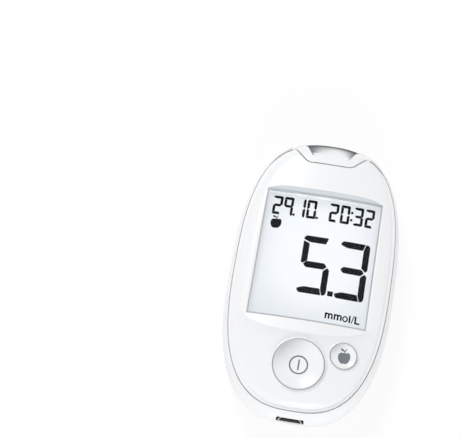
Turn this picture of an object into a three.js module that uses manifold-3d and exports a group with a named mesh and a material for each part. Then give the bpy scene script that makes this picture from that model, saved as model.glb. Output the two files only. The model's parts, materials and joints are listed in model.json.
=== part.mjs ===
// A pocket meter for blood glucose, drawn piece by piece in millimetres.
// It lies on its flat back: +X to its right, +Y towards the test strip port, +Z out of the face.
// The origin is on the table, under the middle of the body.
import * as THREE from "three";
import { mergeVertices } from "three/addons/utils/BufferGeometryUtils.js";
import Module from "manifold-3d";

const wasm = await Module();
wasm.setup();

// Driving dimensions

// The housing is a pebble: every level of it is the same rounded oblong, drawn in by some offset.
const housing = {
  halfWidth: 27.0,
  halfLength: 49.0,
  outlinePower: 2.71,
  partingHeight: 14.6,
  bellyHeight: 8.9,
  partingInset: 1.78,
  backInset: 4.6,
  undersidePower: 2.2,
  wall: 1.6,
  floor: 1.6,
  seam: 0.3,
  segments: 80,
};

// The face rises from a narrow bead at its rim over a round shoulder to a gentle crown.
const face = {
  beadWidth: 1.0,
  beadRise: 0.5,
  beadRound: 0.3,
  shoulderRise: 2.9,
  crownRise: 1.6,
  shoulderPower: 5,
  shoulderRoot: 2.6,
};

// The tongue of the front cover that keeps light and dust out of the seam.
const tongue = { depth: 1.2, thickness: 0.8 };

// The display window: a lens curved across the width, in a pocket with a narrow ledge.
const display = {
  sideMargin: 8.2,
  keyEndMargin: 31.2,
  portEndMargin: 22.6,
  edgeRise: 3.2,
  sag: 1.0,
  lensThickness: 1.2,
  lensClearance: 0.2,
  lensBed: 0.1,
  ledgeWidth: 0.7,
  ledgeThickness: 0.7,
  seatBorder: 1.1,
  sideSlopeShare: 0.22,
  topSlopeShare: 0.45,
  bottomSlopeShare: 0.16,
  slopeReach: 10.0,
  segments: 10,
};

// The two keys: a dished cap in a round hole, with a flange under the cover.
const keyClearance = 0.3;
const keyTravel = 0.6;
const powerKey = {
  x: 0,
  endDistance: 15.5,
  radius: 8.24,
  rimRise: 5.1,
  leanX: 5.3,
  leanY: 0,
  dishDepth: 0.9,
  rimWidth: 0.7,
  rimRound: 0.45,
  capThickness: 1.4,
  flangeWidth: 0.9,
  flangeThickness: 0.7,
  plungerRadius: 1.6,
  segments: 48,
};
const mealKey = {
  pitchAcross: 13.5,
  pitchAlong: 5.2,
  radius: 4.29,
  rimRise: 4.3,
  leanX: 4.9,
  leanY: 4.2,
  dishDepth: 0.45,
  rimWidth: 0.5,
  rimRound: 0.35,
  capThickness: 1.2,
  flangeWidth: 0.6,
  flangeThickness: 0.7,
  plungerRadius: 1.2,
  segments: 36,
};
const keyFlangeTop = 1.2;

// The strip port: an insert in a trapezoid cut-out at the end, with a scoop and a slot under its lip.
const insert = {
  length: 10.55,
  nearHalfWidth: 7.6,
  sideSlopeShare: 0.907,
  bottom: 8.85,
  cornerRadius: 1.6,
};
const scoop = {
  length: 7.2,
  nearHalfWidth: 5.2,
  mouthSetback: 2.9,
  mouthHalfWidth: 9.0,
  lipHeight: 11.7,
  rollShare: 0.55,
  roundPower: 2.8,
  floorThickness: 1.5,
  segments: 12,
};
const stripSlot = { width: 8.4, height: 1.3, middle: 10.25 };

// The data socket in the other end.
const socket = {
  width: 7.7,
  shoulderWidth: 6.3,
  height: 3.9,
  shoulderShare: 0.55,
  length: 9.0,
  wall: 0.35,
  middle: 9.45,
  recess: 0.7,
  clearance: 0.25,
  cornerRadius: 0.6,
};

// Two coin cells lie side by side over the battery door.
const cell = { radius: 10.0, height: 3.2, crimp: 0.35, capRadius: 8.2, capRise: 0.35, segments: 36 };
const cellGap = 0.5;
const cellLift = 0.4;
const bay = { clearance: 0.9, endClearance: 3.0, wall: 1.0, springRoom: 1.1, roof: 0.8 };
const door = {
  thickness: 1.3,
  gap: 0.3,
  cornerRadius: 2.0,
  hookX: 13.0,
  hookWidth: 5.0,
  hookReach: 1.3,
  hookThickness: 0.8,
  riserDepth: 1.0,
  latchWidth: 9.0,
  latchReach: 1.5,
  latchThickness: 0.8,
  latchPostHeight: 1.7,
  latchPostDepth: 0.8,
  latchNose: 0.5,
  dimpleRadius: 5.0,
  dimpleDepth: 0.7,
};
const contact = { thickness: 0.25, width: 3.0, length: 12.0, tailSlot: 0.5, sideWidth: 6.0 };

// The board and what stands on it.
const board = { inset: 2.6, thickness: 1.0, seatGap: 0.3, partGap: 0.1 };
const switches = { bodyHeight: 3.5, powerSize: 6.0, mealSize: 4.5, boreDepth: 1.7, bottomPlay: 0.1 };
const switchStem = { clearance: 0.3, stand: 1.4, headGap: 0.2, segments: 20 };
const screws = {
  keyEndSide: 12.5,
  keyEndDistance: 13.0,
  portEndSide: 13.0,
  portEndDistance: 13.6,
  shankRadius: 0.95,
  headRadius: 1.9,
  headHeight: 1.2,
  counterbore: 3.0,
  fit: 0.3,
  bossRadius: 2.2,
  rearBossRadius: 2.9,
  length: 9.5,
  segments: 20,
};

// The display stack, from the board up to the underside of the lens ledge.
const lcd = {
  glassThickness: 0.6,
  polarizerThickness: 0.2,
  diffuserThickness: 0.2,
  guideThickness: 2.0,
  sheetGap: 0.05,
  topGap: 0.2,
  border: 0.1,
  contactLedge: 2.4,
  frameWall: 0.7,
  frameClearance: 0.3,
  shelfThickness: 0.6,
  shelfWidth: 1.2,
  zebraWidth: 1.4,
  zebraInset: 1.6,
  cornerRadius: 1.2,
};

// The strip connector behind the slot.
const connector = {
  width: 13.0,
  height: 4.2,
  length: 12.0,
  mouthSetback: 4.0,
  slotWidth: 6.6,
  slotHeight: 1.5,
  contacts: 5,
  contactPitch: 1.1,
  contactWidth: 0.6,
  contactThickness: 0.2,
  contactTail: 0.35,
};

const overrun = 2.0;

// Heights and half sizes that follow from the driving dimensions.
powerKey.y = -housing.halfLength + powerKey.endDistance;
mealKey.x = powerKey.x + mealKey.pitchAcross;
mealKey.y = powerKey.y + mealKey.pitchAlong;
const displayWidth = 2 * (housing.halfWidth - display.sideMargin);
const displayBottomY = -housing.halfLength + display.keyEndMargin;
const displayTopY = housing.halfLength - display.portEndMargin;
const insertNearY = housing.halfLength - insert.length;
const scoopNearY = housing.halfLength - scoop.length;
const scoopMouthY = housing.halfLength - scoop.mouthSetback;
const connectorMouthY = housing.halfLength - connector.mouthSetback;
const partingHalfWidth = housing.halfWidth - housing.partingInset;
const partingHalfLength = housing.halfLength - housing.partingInset;
const crownHalfWidth = partingHalfWidth - face.beadWidth;
const crownHalfLength = partingHalfLength - face.beadWidth;
const tongueOutset = housing.partingInset + housing.wall + housing.seam;
const faceInnerInset = tongueOutset + tongue.thickness;
const cellX = cell.radius + cellGap / 2;
const cellBottom = door.thickness + cellLift;
const cellTop = cellBottom + cell.height;
const bayRoofUnder = cellTop + bay.springRoom;
const bayRoofTop = bayRoofUnder + bay.roof;
const bayHalfWidth = cellX + cell.radius + bay.clearance;
const bayHalfLength = cell.radius + bay.endClearance;
const boardBottom = bayRoofTop + board.seatGap;
const boardTop = boardBottom + board.thickness;
const displayMiddleY = (displayBottomY + displayTopY) / 2;
const displayLength = displayTopY - displayBottomY;
const ledgeUnder =
  housing.partingHeight + display.edgeRise - display.lensThickness - display.lensBed - display.ledgeThickness;
const switchTop = boardTop + board.partGap + switches.bodyHeight;
const stemTop = switchTop + switchStem.stand;
const keyBottom = housing.partingHeight + keyFlangeTop - powerKey.flangeThickness;

// Small helpers for closed meshes, cuts and joins

function material(color, roughness, metalness) {
  return new THREE.MeshStandardMaterial({ color, roughness, metalness });
}

function solid(geometry) {
  const bare = geometry.clone();
  bare.deleteAttribute("normal");
  bare.deleteAttribute("uv");
  const merged = mergeVertices(bare);
  const vertProperties = new Float32Array(merged.attributes.position.array);
  const triVerts = new Uint32Array(merged.index.array);
  return new wasm.Manifold(new wasm.Mesh({ numProp: 3, vertProperties, triVerts }));
}

function geometryOf(manifold) {
  const mesh = manifold.getMesh();
  const geometry = new THREE.BufferGeometry();
  geometry.setAttribute("position", new THREE.BufferAttribute(new Float32Array(mesh.vertProperties), 3));
  geometry.setIndex(new THREE.BufferAttribute(new Uint32Array(mesh.triVerts), 1));
  geometry.computeVertexNormals();
  return geometry;
}

function indexed(points, triangles) {
  const geometry = new THREE.BufferGeometry();
  geometry.setAttribute("position", new THREE.Float32BufferAttribute(points.flat(), 3));
  geometry.setIndex(triangles.flat());
  geometry.computeVertexNormals();
  return geometry;
}

// A closed skin through rings of equal count, listed upwards and turning anticlockwise from above.
function loft(rings, apex) {
  const count = rings[0].length;
  const points = rings.flat();
  const triangles = [];
  for (let level = 0; level + 1 < rings.length; level += 1) {
    for (let step = 0; step < count; step += 1) {
      const next = (step + 1) % count;
      const a = level * count + step;
      const b = level * count + next;
      const c = a + count;
      const d = b + count;
      triangles.push([a, b, d], [a, d, c]);
    }
  }
  const bottom = points.length;
  points.push(middleOf(rings[0]));
  points.push(apex || middleOf(rings[rings.length - 1]));
  const topRow = (rings.length - 1) * count;
  for (let step = 0; step < count; step += 1) {
    const next = (step + 1) % count;
    triangles.push([bottom, next, step]);
    triangles.push([bottom + 1, topRow + step, topRow + next]);
  }
  return indexed(points, triangles);
}

function middleOf(ring) {
  const sum = ring.reduce((all, point) => [all[0] + point[0], all[1] + point[1], all[2] + point[2]], [0, 0, 0]);
  return sum.map((value) => value / ring.length);
}

// A block whose underside follows a height function over a grid of x and y stations.
function gridBlock(xs, ys, underside, top) {
  const points = [];
  ys.forEach((y) => xs.forEach((x) => points.push([x, y, underside(x, y)])));
  ys.forEach((y) => xs.forEach((x) => points.push([x, y, top])));
  const across = xs.length;
  const half = across * ys.length;
  const triangles = [];
  for (let row = 0; row + 1 < ys.length; row += 1) {
    for (let column = 0; column + 1 < across; column += 1) {
      const a = row * across + column;
      const b = a + 1;
      const c = a + across;
      const d = c + 1;
      triangles.push([a, d, b], [a, c, d]);
      triangles.push([a + half, b + half, d + half], [a + half, d + half, c + half]);
    }
  }
  const edge = [];
  for (let column = 0; column + 1 < across; column += 1) edge.push(column);
  for (let row = 0; row + 1 < ys.length; row += 1) edge.push(row * across + across - 1);
  for (let column = across - 1; column > 0; column -= 1) edge.push((ys.length - 1) * across + column);
  for (let row = ys.length - 1; row > 0; row -= 1) edge.push(row * across);
  edge.forEach((from, place) => {
    const to = edge[(place + 1) % edge.length];
    triangles.push([from, to, to + half], [from, to + half, from + half]);
  });
  return indexed(points, triangles);
}

function box(width, depth, low, high, x, y) {
  const geometry = new THREE.BoxGeometry(width, depth, high - low);
  geometry.translate(x, y, (low + high) / 2);
  return geometry;
}

function round(radius, low, high, x, y, segments) {
  const geometry = new THREE.CylinderGeometry(radius, radius, high - low, segments);
  geometry.rotateX(Math.PI / 2);
  geometry.translate(x, y, (low + high) / 2);
  return geometry;
}

function lathe(profile, segments) {
  const geometry = new THREE.LatheGeometry(profile.map(([r, z]) => new THREE.Vector2(r, z)), segments);
  geometry.rotateX(Math.PI / 2);
  return geometry;
}

function roundedRectangle(halfWidth, halfLength, radius) {
  const shape = new THREE.Shape();
  const inX = halfWidth - radius;
  const inY = halfLength - radius;
  shape.absarc(inX, inY, radius, 0, Math.PI / 2);
  shape.absarc(-inX, inY, radius, Math.PI / 2, Math.PI);
  shape.absarc(-inX, -inY, radius, Math.PI, Math.PI * 1.5);
  shape.absarc(inX, -inY, radius, Math.PI * 1.5, Math.PI * 2);
  return shape;
}

function slab(shape, low, high, curveSegments) {
  const geometry = new THREE.ExtrudeGeometry(shape, { depth: high - low, bevelEnabled: false, curveSegments });
  geometry.translate(0, 0, low);
  return geometry;
}

// A profile in the Y and Z plane, drawn as points, carried along X between two places.
function acrossX(points, fromX, toX) {
  const shape = new THREE.Shape(points.map(([y, z]) => new THREE.Vector2(y, z)));
  const geometry = new THREE.ExtrudeGeometry(shape, { depth: toX - fromX, bevelEnabled: false });
  geometry.rotateX(Math.PI / 2);
  geometry.rotateZ(Math.PI / 2);
  geometry.translate(fromX, 0, 0);
  return geometry;
}

// A shape in the X and Z plane, carried along Y between two places.
function alongY(shape, fromY, toY, curveSegments) {
  const geometry = new THREE.ExtrudeGeometry(shape, { depth: toY - fromY, bevelEnabled: false, curveSegments });
  geometry.rotateX(Math.PI / 2);
  geometry.translate(0, toY, 0);
  return geometry;
}

const meter = new THREE.Group();

function add(name, shape, finish) {
  const geometry = shape.isBufferGeometry ? shape : geometryOf(shape);
  const mesh = new THREE.Mesh(geometry, finish);
  mesh.name = name;
  meter.add(mesh);
  return mesh;
}

const whiteGloss = material(0xf4f6f8, 0.28, 0);
const whiteSatin = material(0xeceff2, 0.45, 0);
const clear = material(0xf2f6f9, 0.05, 0);
const glass = material(0xe4ebe8, 0.08, 0);
const polarizer = material(0xc9cfc8, 0.3, 0);
const milky = material(0xf7f9fb, 0.4, 0);
const innerPlastic = material(0x3b3e42, 0.6, 0);
const boardGreen = material(0x1f6b46, 0.5, 0);
const steel = material(0xb9bcc0, 0.3, 1);
const gold = material(0xc9a24a, 0.3, 1);
const chipBlack = material(0x17181a, 0.55, 0);
const elastomer = material(0xd9a9a0, 0.7, 0);

// The housing's levels

function outline(inset, segments, share = 1) {
  const power = 2 / housing.outlinePower;
  const points = [];
  for (let step = 0; step < segments; step += 1) {
    const turn = (step / segments) * Math.PI * 2;
    const c = Math.cos(turn);
    const s = Math.sin(turn);
    const x = (housing.halfWidth - inset) * share * Math.sign(c) * Math.abs(c) ** power;
    const y = (housing.halfLength - inset) * share * Math.sign(s) * Math.abs(s) ** power;
    points.push([x, y]);
  }
  return points;
}

function levelRing(inset, height, segments) {
  return outline(inset, segments).map(([x, y]) => [x, y, height]);
}

// How far the side is drawn in from the widest outline at a height of the rear cover.
function sideInset(height) {
  if (height >= housing.bellyHeight) {
    const share = Math.min(1, (height - housing.bellyHeight) / (housing.partingHeight - housing.bellyHeight));
    return housing.partingInset * (1 - Math.sqrt(1 - share * share));
  }
  const share = (housing.bellyHeight - height) / housing.bellyHeight;
  const power = housing.undersidePower;
  return housing.backInset * (1 - (1 - share ** power) ** (1 / power));
}

const undersideShares = [0, 0.03, 0.1, 0.24, 0.45, 0.7, 1];
const bellyShares = [0.35, 0.65, 0.88, 1];

function rearBody(topHeight) {
  const low = undersideShares.map((share) => share * housing.bellyHeight);
  const high = bellyShares.map((share) => housing.bellyHeight + share * (topHeight - housing.bellyHeight));
  return solid(loft([...low, ...high].map((z) => levelRing(sideInset(z), z, housing.segments))));
}

const hollowShares = [0, 0.12, 0.35, 0.7, 1];

function rearHollow(topHeight) {
  const rise = housing.bellyHeight - housing.floor;
  const low = hollowShares.map((share) => {
    const z = housing.floor + share * rise;
    return levelRing(sideInset(z) + housing.wall, z, housing.segments);
  });
  const parting = levelRing(housing.partingInset + housing.wall, housing.partingHeight, housing.segments);
  const top = levelRing(housing.partingInset + housing.wall, topHeight, housing.segments);
  return solid(loft([...low, parting, top]));
}

// The face's height above the parting plane.
function faceRise(x, y) {
  const power = housing.outlinePower;
  const sum = Math.abs(x / crownHalfWidth) ** power + Math.abs(y / crownHalfLength) ** power;
  const reach = Math.min(1, sum ** (1 / power));
  const shoulder = (1 - reach ** face.shoulderPower) ** (1 / face.shoulderRoot);
  return face.beadRise + shoulder * (face.shoulderRise + face.crownRise * (1 - (x / crownHalfWidth) ** 2));
}

const crownShares = [1, 0.99, 0.965, 0.92, 0.85, 0.75, 0.6, 0.35];

function faceRings(inset, drop) {
  return crownShares.map((share) =>
    outline(inset, housing.segments, share).map(([x, y]) => [x, y, housing.partingHeight + faceRise(x, y) - drop]),
  );
}

function faceBody(bottomHeight) {
  const rim = housing.partingInset;
  const beadTop = housing.partingHeight + face.beadRise;
  const rings = [
    levelRing(rim, bottomHeight, housing.segments),
    levelRing(rim, beadTop - face.beadRound, housing.segments),
    levelRing(rim + face.beadRound, beadTop, housing.segments),
    ...faceRings(rim + face.beadWidth, 0),
  ];
  return solid(loft(rings, [0, 0, housing.partingHeight + faceRise(0, 0)]));
}

function faceHollow(bottomHeight) {
  const rings = [
    levelRing(faceInnerInset, bottomHeight, housing.segments),
    ...faceRings(faceInnerInset, housing.wall),
  ];
  return solid(loft(rings, [0, 0, housing.partingHeight + faceRise(0, 0) - housing.wall]));
}

// The cut-out for the strip port insert, as a plan shape that can grow or shrink by a clearance.
function insertPrism(grow) {
  const farY = housing.halfLength + overrun;
  const slant = Math.hypot(1, insert.sideSlopeShare) * grow;
  const near = insert.nearHalfWidth + slant - grow * insert.sideSlopeShare;
  const far = insert.nearHalfWidth + slant + (farY - insertNearY) * insert.sideSlopeShare;
  const nearY = insertNearY - grow;
  const corner = insert.cornerRadius;
  const slopeX = corner * Math.sin(Math.atan(insert.sideSlopeShare));
  const slopeY = corner * Math.cos(Math.atan(insert.sideSlopeShare));
  const shape = new THREE.Shape();
  shape.moveTo(-far, farY);
  shape.lineTo(-near - slopeX, nearY + slopeY);
  shape.quadraticCurveTo(-near, nearY, -near + corner, nearY);
  shape.lineTo(near - corner, nearY);
  shape.quadraticCurveTo(near, nearY, near + slopeX, nearY + slopeY);
  shape.lineTo(far, farY);
  const top = housing.partingHeight + face.beadRise + face.shoulderRise + face.crownRise + overrun;
  return solid(slab(shape, insert.bottom - grow, top, 4));
}

// The scoop: sections across the port that widen and sink towards the mouth.
const scoopStations = [0, 0.08, 0.2, 0.36, 0.55, 0.75, 1, 1.25];

function scoopBody(grow) {
  const nearY = scoopNearY - grow;
  const lipY = housing.halfLength;
  const startHeight = housing.partingHeight + faceRise(0, scoopNearY) - grow;
  const endHeight = scoop.lipHeight - grow;
  const top = housing.partingHeight + face.beadRise + face.shoulderRise + face.crownRise + overrun;
  const widening = (scoop.mouthHalfWidth - scoop.nearHalfWidth) / (scoopMouthY - scoopNearY);
  const power = 2 / scoop.roundPower;
  const rings = scoopStations.map((station) => {
    const y = nearY + station * (lipY - nearY);
    const half = scoop.nearHalfWidth + grow + (y - nearY) * widening;
    const reach = Math.min(station, 1);
    const roll = 1 - Math.cos((reach * Math.PI) / 2);
    const sunk = (scoop.rollShare * roll + (1 - scoop.rollShare) * reach) * (startHeight - endHeight);
    const brim = housing.partingHeight + faceRise(0, Math.min(y, crownHalfLength)) + grow;
    const floor = Math.min(brim, startHeight - sunk);
    const ring = [[half, y, top], [-half, y, top]];
    for (let step = 0; step <= scoop.segments; step += 1) {
      const turn = Math.PI + (step / scoop.segments) * Math.PI;
      const c = Math.cos(turn);
      const s = Math.sin(turn);
      const x = half * Math.sign(c) * Math.abs(c) ** power;
      ring.push([x, y, brim - (brim - floor) * Math.abs(s) ** power]);
    }
    return ring.reverse();
  });
  return solid(loft(rings));
}

// Housing pieces

const keyEndScrewX = housing.halfWidth - screws.keyEndSide;
const keyEndScrewY = -housing.halfLength + screws.keyEndDistance;
const portEndScrewX = housing.halfWidth - screws.portEndSide;
const portEndScrewY = housing.halfLength - screws.portEndDistance;
const screwPlaces = [
  [-keyEndScrewX, keyEndScrewY],
  [keyEndScrewX, keyEndScrewY],
  [-portEndScrewX, portEndScrewY],
  [portEndScrewX, portEndScrewY],
];

function socketShape(grow, radius) {
  const half = socket.width / 2 + grow;
  const narrow = socket.shoulderWidth / 2 + grow;
  const low = -socket.height / 2 - grow;
  const high = socket.height / 2 + grow;
  const waist = low + (high - low) * socket.shoulderShare;
  const shape = new THREE.Shape();
  shape.moveTo(-half + radius, low);
  shape.lineTo(half - radius, low);
  shape.quadraticCurveTo(half, low, half, low + radius);
  shape.lineTo(half, waist);
  shape.lineTo(narrow, high);
  shape.lineTo(-narrow, high);
  shape.lineTo(-half, waist);
  shape.lineTo(-half, low + radius);
  shape.quadraticCurveTo(-half, low, -half + radius, low);
  return shape;
}

function socketPlace(geometry) {
  geometry.translate(0, 0, socket.middle);
  return geometry;
}

function rearCover() {
  const seamHeight = housing.partingHeight - housing.seam / 2;
  let cover = rearBody(seamHeight).subtract(rearHollow(housing.partingHeight + overrun));
  const bayOuter = box(
    2 * (bayHalfWidth + bay.wall), 2 * (bayHalfLength + bay.wall), housing.floor / 2, bayRoofTop, 0, 0,
  );
  cover = cover.add(solid(bayOuter));
  for (const [x, y] of screwPlaces) {
    const boss = round(screws.rearBossRadius, housing.floor / 2, bayRoofTop, x, y, screws.segments);
    cover = cover.add(solid(boss));
  }
  for (const y of [-housing.halfLength + socket.length, portEndScrewY]) {
    const rest = box(socket.width, housing.wall, housing.floor / 2, bayRoofTop, 0, y);
    cover = cover.add(solid(rest));
  }
  cover = cover.subtract(solid(box(2 * bayHalfWidth, 2 * bayHalfLength, -overrun, bayRoofUnder, 0, 0)));
  for (const side of [-1, 1]) {
    const pocket = box(
      door.hookWidth + 2 * door.gap, 2 * (door.hookReach + bay.wall), housing.floor,
      housing.floor + door.gap + door.hookThickness + door.hookReach, side * door.hookX, bayHalfLength,
    );
    cover = cover.subtract(solid(pocket));
    cover = cover.subtract(solid(springSlot(side)));
    cover = cover.subtract(solid(sideContactSlot(side)));
  }
  const notch = box(
    door.latchWidth + 2 * door.gap, 2 * (door.latchReach + door.gap), -overrun,
    door.latchThickness + door.gap, 0, -bayHalfLength,
  );
  cover = cover.subtract(solid(notch));
  const dimple = lathe(
    [
      [0, -overrun],
      [door.dimpleRadius, -overrun],
      [door.dimpleRadius, 0],
      [door.dimpleRadius / 2, door.dimpleDepth],
      [0, door.dimpleDepth],
    ],
    screws.segments,
  );
  dimple.translate(0, -bayHalfLength - door.latchReach - door.dimpleRadius, 0);
  cover = cover.subtract(solid(dimple));
  for (const [x, y] of screwPlaces) {
    const bore = round(
      screws.headRadius + screws.fit, -overrun, screws.counterbore, x, y, screws.segments,
    );
    const hole = round(
      screws.shankRadius + screws.fit, 0, bayRoofTop + overrun, x, y, screws.segments,
    );
    cover = cover.subtract(solid(bore)).subtract(solid(hole));
  }
  const port = socketPlace(
    alongY(
      roundedRectangle(
        socket.width / 2 + 2 * socket.clearance, socket.height / 2 + socket.clearance, socket.cornerRadius,
      ),
      -housing.halfLength - overrun, -housing.halfLength + 2 * housing.wall + overrun, 4,
    ),
  );
  cover = cover.subtract(solid(port));
  return cover.subtract(insertPrism(housing.seam / 2));
}

function lensRise(x) {
  const share = Math.min(1, Math.abs(x) / (displayWidth / 2));
  return display.edgeRise + display.sag * (1 - share * share);
}

// Stations across the lens, from edge to edge.
function lensStations(halfWidth) {
  const places = [];
  for (let step = 0; step <= display.segments; step += 1) {
    places.push(-halfWidth + (2 * halfWidth * step) / display.segments);
  }
  return places;
}

// The shallow flare round the window, whose floor meets the lens and runs out into the face.
function windowFlare() {
  const half = displayWidth / 2;
  const xs = [-half - display.slopeReach, ...lensStations(half), half + display.slopeReach];
  const ys = [displayBottomY - display.slopeReach, displayBottomY, displayTopY, displayTopY + display.slopeReach];
  const floor = (x, y) =>
    housing.partingHeight +
    lensRise(x) +
    display.sideSlopeShare * Math.max(0, Math.abs(x) - half) +
    display.topSlopeShare * Math.max(0, y - displayTopY) +
    display.bottomSlopeShare * Math.max(0, displayBottomY - y);
  const top = housing.partingHeight + display.edgeRise + display.slopeReach;
  return solid(gridBlock(xs, ys, floor, top));
}

function lensBlock(clearance, bed, rise) {
  const half = displayWidth / 2 - clearance;
  const shape = new THREE.Shape();
  const stations = lensStations(half);
  stations.forEach((x, place) => {
    const z = housing.partingHeight + lensRise(x) + rise;
    if (place === 0) shape.moveTo(x, z);
    else shape.lineTo(x, z);
  });
  stations.reverse().forEach((x) => {
    shape.lineTo(x, housing.partingHeight + lensRise(x) - display.lensThickness - bed);
  });
  return alongY(shape, displayBottomY + clearance, displayTopY - clearance);
}

function frontCover() {
  const body = faceBody(housing.partingHeight + housing.seam / 2);
  const tongueRings = [-tongue.depth, face.beadRise].map((rise) =>
    levelRing(tongueOutset, housing.partingHeight + rise, housing.segments),
  );
  let cover = body.add(solid(loft(tongueRings)));
  cover = cover.subtract(faceHollow(housing.partingHeight - tongue.depth - overrun));
  const seatTop = housing.partingHeight + display.edgeRise + display.sag;
  const seat = box(
    displayWidth + 2 * display.seatBorder, displayLength + 2 * display.seatBorder, ledgeUnder, seatTop,
    0, displayMiddleY,
  );
  cover = cover.add(solid(seat).intersect(body));
  for (const [x, y] of screwPlaces) {
    const top = housing.partingHeight + faceRise(x, y) - housing.wall / 2;
    const boss = round(screws.bossRadius, bayRoofTop + board.seatGap, top, x, y, screws.segments);
    cover = cover.add(solid(boss));
  }
  cover = cover.subtract(windowFlare()).subtract(solid(lensBlock(0, display.lensBed, overrun)));
  const opening = box(
    displayWidth - 2 * display.ledgeWidth, displayLength - 2 * display.ledgeWidth,
    ledgeUnder - overrun, seatTop + overrun, 0, displayMiddleY,
  );
  cover = cover.subtract(solid(opening));
  for (const key of [powerKey, mealKey]) {
    const hole = round(
      key.radius + keyClearance, housing.partingHeight - overrun,
      housing.partingHeight + key.rimRise + overrun, key.x, key.y, key.segments,
    );
    cover = cover.subtract(solid(hole));
  }
  for (const [x, y] of screwPlaces) {
    const pilot = round(
      screws.shankRadius + screws.fit, 0,
      screws.counterbore + screws.length, x, y, screws.segments,
    );
    cover = cover.subtract(solid(pilot));
  }
  return cover.subtract(insertPrism(housing.seam / 2));
}

function stripPortInsert() {
  const envelope = rearBody(housing.partingHeight).add(faceBody(housing.partingHeight));
  const hollow = rearHollow(housing.partingHeight).add(faceHollow(housing.bellyHeight));
  let piece = envelope.intersect(insertPrism(-housing.seam / 2));
  piece = piece.subtract(hollow.subtract(scoopBody(scoop.floorThickness)));
  piece = piece.subtract(scoopBody(0));
  const slot = box(
    stripSlot.width, housing.halfLength - connectorMouthY + overrun,
    stripSlot.middle - stripSlot.height / 2, stripSlot.middle + stripSlot.height / 2,
    0, (housing.halfLength + connectorMouthY + overrun) / 2,
  );
  return piece.subtract(solid(slot));
}

add("rear_cover", rearCover(), whiteSatin);
add("front_cover", frontCover(), whiteGloss);
add("strip_port_insert", stripPortInsert(), whiteGloss);
add("display_lens", lensBlock(display.lensClearance, 0, 0), clear);

// Keys

// A cup cut by a leaning dish. The hole, the cup and the travel stay square to the board.
function keyCap(key) {
  const r = key.radius;
  const crest = housing.partingHeight + key.rimRise;
  const lean = Math.hypot(key.leanX, key.leanY);
  const blankTop = crest + r * Math.tan(THREE.MathUtils.degToRad(lean)) + overrun;
  const flange = r + key.flangeWidth;
  const flangeTop = keyBottom + key.flangeThickness;
  const roof = crest - key.dishDepth - key.capThickness;
  const inner = r - key.capThickness;
  const cup = lathe(
    [
      [0, stemTop + switchStem.headGap],
      [key.plungerRadius, stemTop + switchStem.headGap],
      [key.plungerRadius, roof],
      [inner, roof],
      [inner, keyBottom],
      [flange, keyBottom],
      [flange, flangeTop],
      [r, flangeTop],
      [r, blankTop],
      [0, blankTop],
    ],
    key.segments,
  );
  cup.translate(key.x, key.y, 0);
  const dishEdge = r - key.rimWidth;
  const dishShares = [0, 0.35, 0.65, 0.88];
  const bowl = dishShares.map((share) => [dishEdge * share, -key.dishDepth * (1 - share * share)]);
  const cutter = lathe(
    [
      ...bowl,
      [dishEdge, 0],
      [r - key.rimRound, 0],
      [r, -key.rimRound],
      [r + overrun, -key.rimRound],
      [r + overrun, 2 * overrun],
      [0, 2 * overrun],
    ],
    key.segments,
  );
  cutter.rotateX(THREE.MathUtils.degToRad(key.leanX));
  cutter.rotateY(THREE.MathUtils.degToRad(key.leanY));
  cutter.translate(key.x, key.y, crest);
  return solid(cup).subtract(solid(cutter));
}

function keySwitch(key, size) {
  const low = boardTop + board.partGap;
  const stemRadius = key.plungerRadius;
  const shape = roundedRectangle(size / 2, size / 2, size / 10);
  const body = slab(shape, low, switchTop, 3);
  body.translate(key.x, key.y, 0);
  const bore = round(
    stemRadius + switchStem.clearance, switchTop - switches.boreDepth, switchTop + overrun,
    key.x, key.y, switchStem.segments,
  );
  return solid(body).subtract(solid(bore));
}

function keyStem(key) {
  const bottom = switchTop - switches.boreDepth + keyTravel + switches.bottomPlay;
  return round(key.plungerRadius, bottom, stemTop, key.x, key.y, switchStem.segments);
}

add("power_button", keyCap(powerKey), whiteGloss);
add("meal_button", keyCap(mealKey), whiteGloss);
add("power_switch_body", keySwitch(powerKey, switches.powerSize), chipBlack);
add("meal_switch_body", keySwitch(mealKey, switches.mealSize), chipBlack);
add("power_switch_stem", keyStem(powerKey), innerPlastic);
add("meal_switch_stem", keyStem(mealKey), innerPlastic);

// Battery bay

function coinCell(side) {
  const crimpZ = cellTop - cell.capRise;
  const geometry = lathe(
    [
      [0, cellBottom],
      [cell.radius - cell.crimp, cellBottom],
      [cell.radius, cellBottom + cell.crimp],
      [cell.radius, crimpZ - cell.crimp],
      [cell.radius - cell.crimp, crimpZ],
      [cell.capRadius, crimpZ],
      [cell.capRadius, cellTop],
      [0, cellTop],
    ],
    cell.segments,
  );
  geometry.translate(side * cellX, 0, 0);
  return geometry;
}

// A leaf under the bay roof that dips to the cell, with a tail up to the board.
function leafSpring(side) {
  const t = contact.thickness;
  const high = bayRoofUnder - board.partGap;
  const low = cellTop + board.partGap;
  const half = contact.length / 2;
  const rest = contact.length / 6;
  const tail = boardBottom - board.partGap;
  const profile = [
    [-half, high - t],
    [-half + rest, high - t],
    [-rest / 2, low],
    [rest / 2, low],
    [half - rest, high - t],
    [half, high - t],
    [half, tail],
    [half - t, tail],
    [half - t, high],
    [half - rest, high],
    [rest / 2, low + t],
    [-rest / 2, low + t],
    [-half + rest, high],
    [-half, high],
  ];
  return acrossX(profile, side * cellX - contact.width / 2, side * cellX + contact.width / 2);
}

function springSlot(side) {
  const half = contact.length / 2;
  return box(
    contact.width + 2 * contact.tailSlot, contact.thickness + 2 * contact.tailSlot, bayRoofUnder - board.partGap,
    bayRoofTop + overrun, side * cellX, half - contact.thickness / 2,
  );
}

// A plate beside the cell's rim, with its top edge through the roof.
function sideContact(side) {
  const x = side * (cellX + cell.radius + bay.clearance / 2);
  return box(contact.thickness, contact.sideWidth, cellBottom, boardBottom - board.partGap, x, 0);
}

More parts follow.
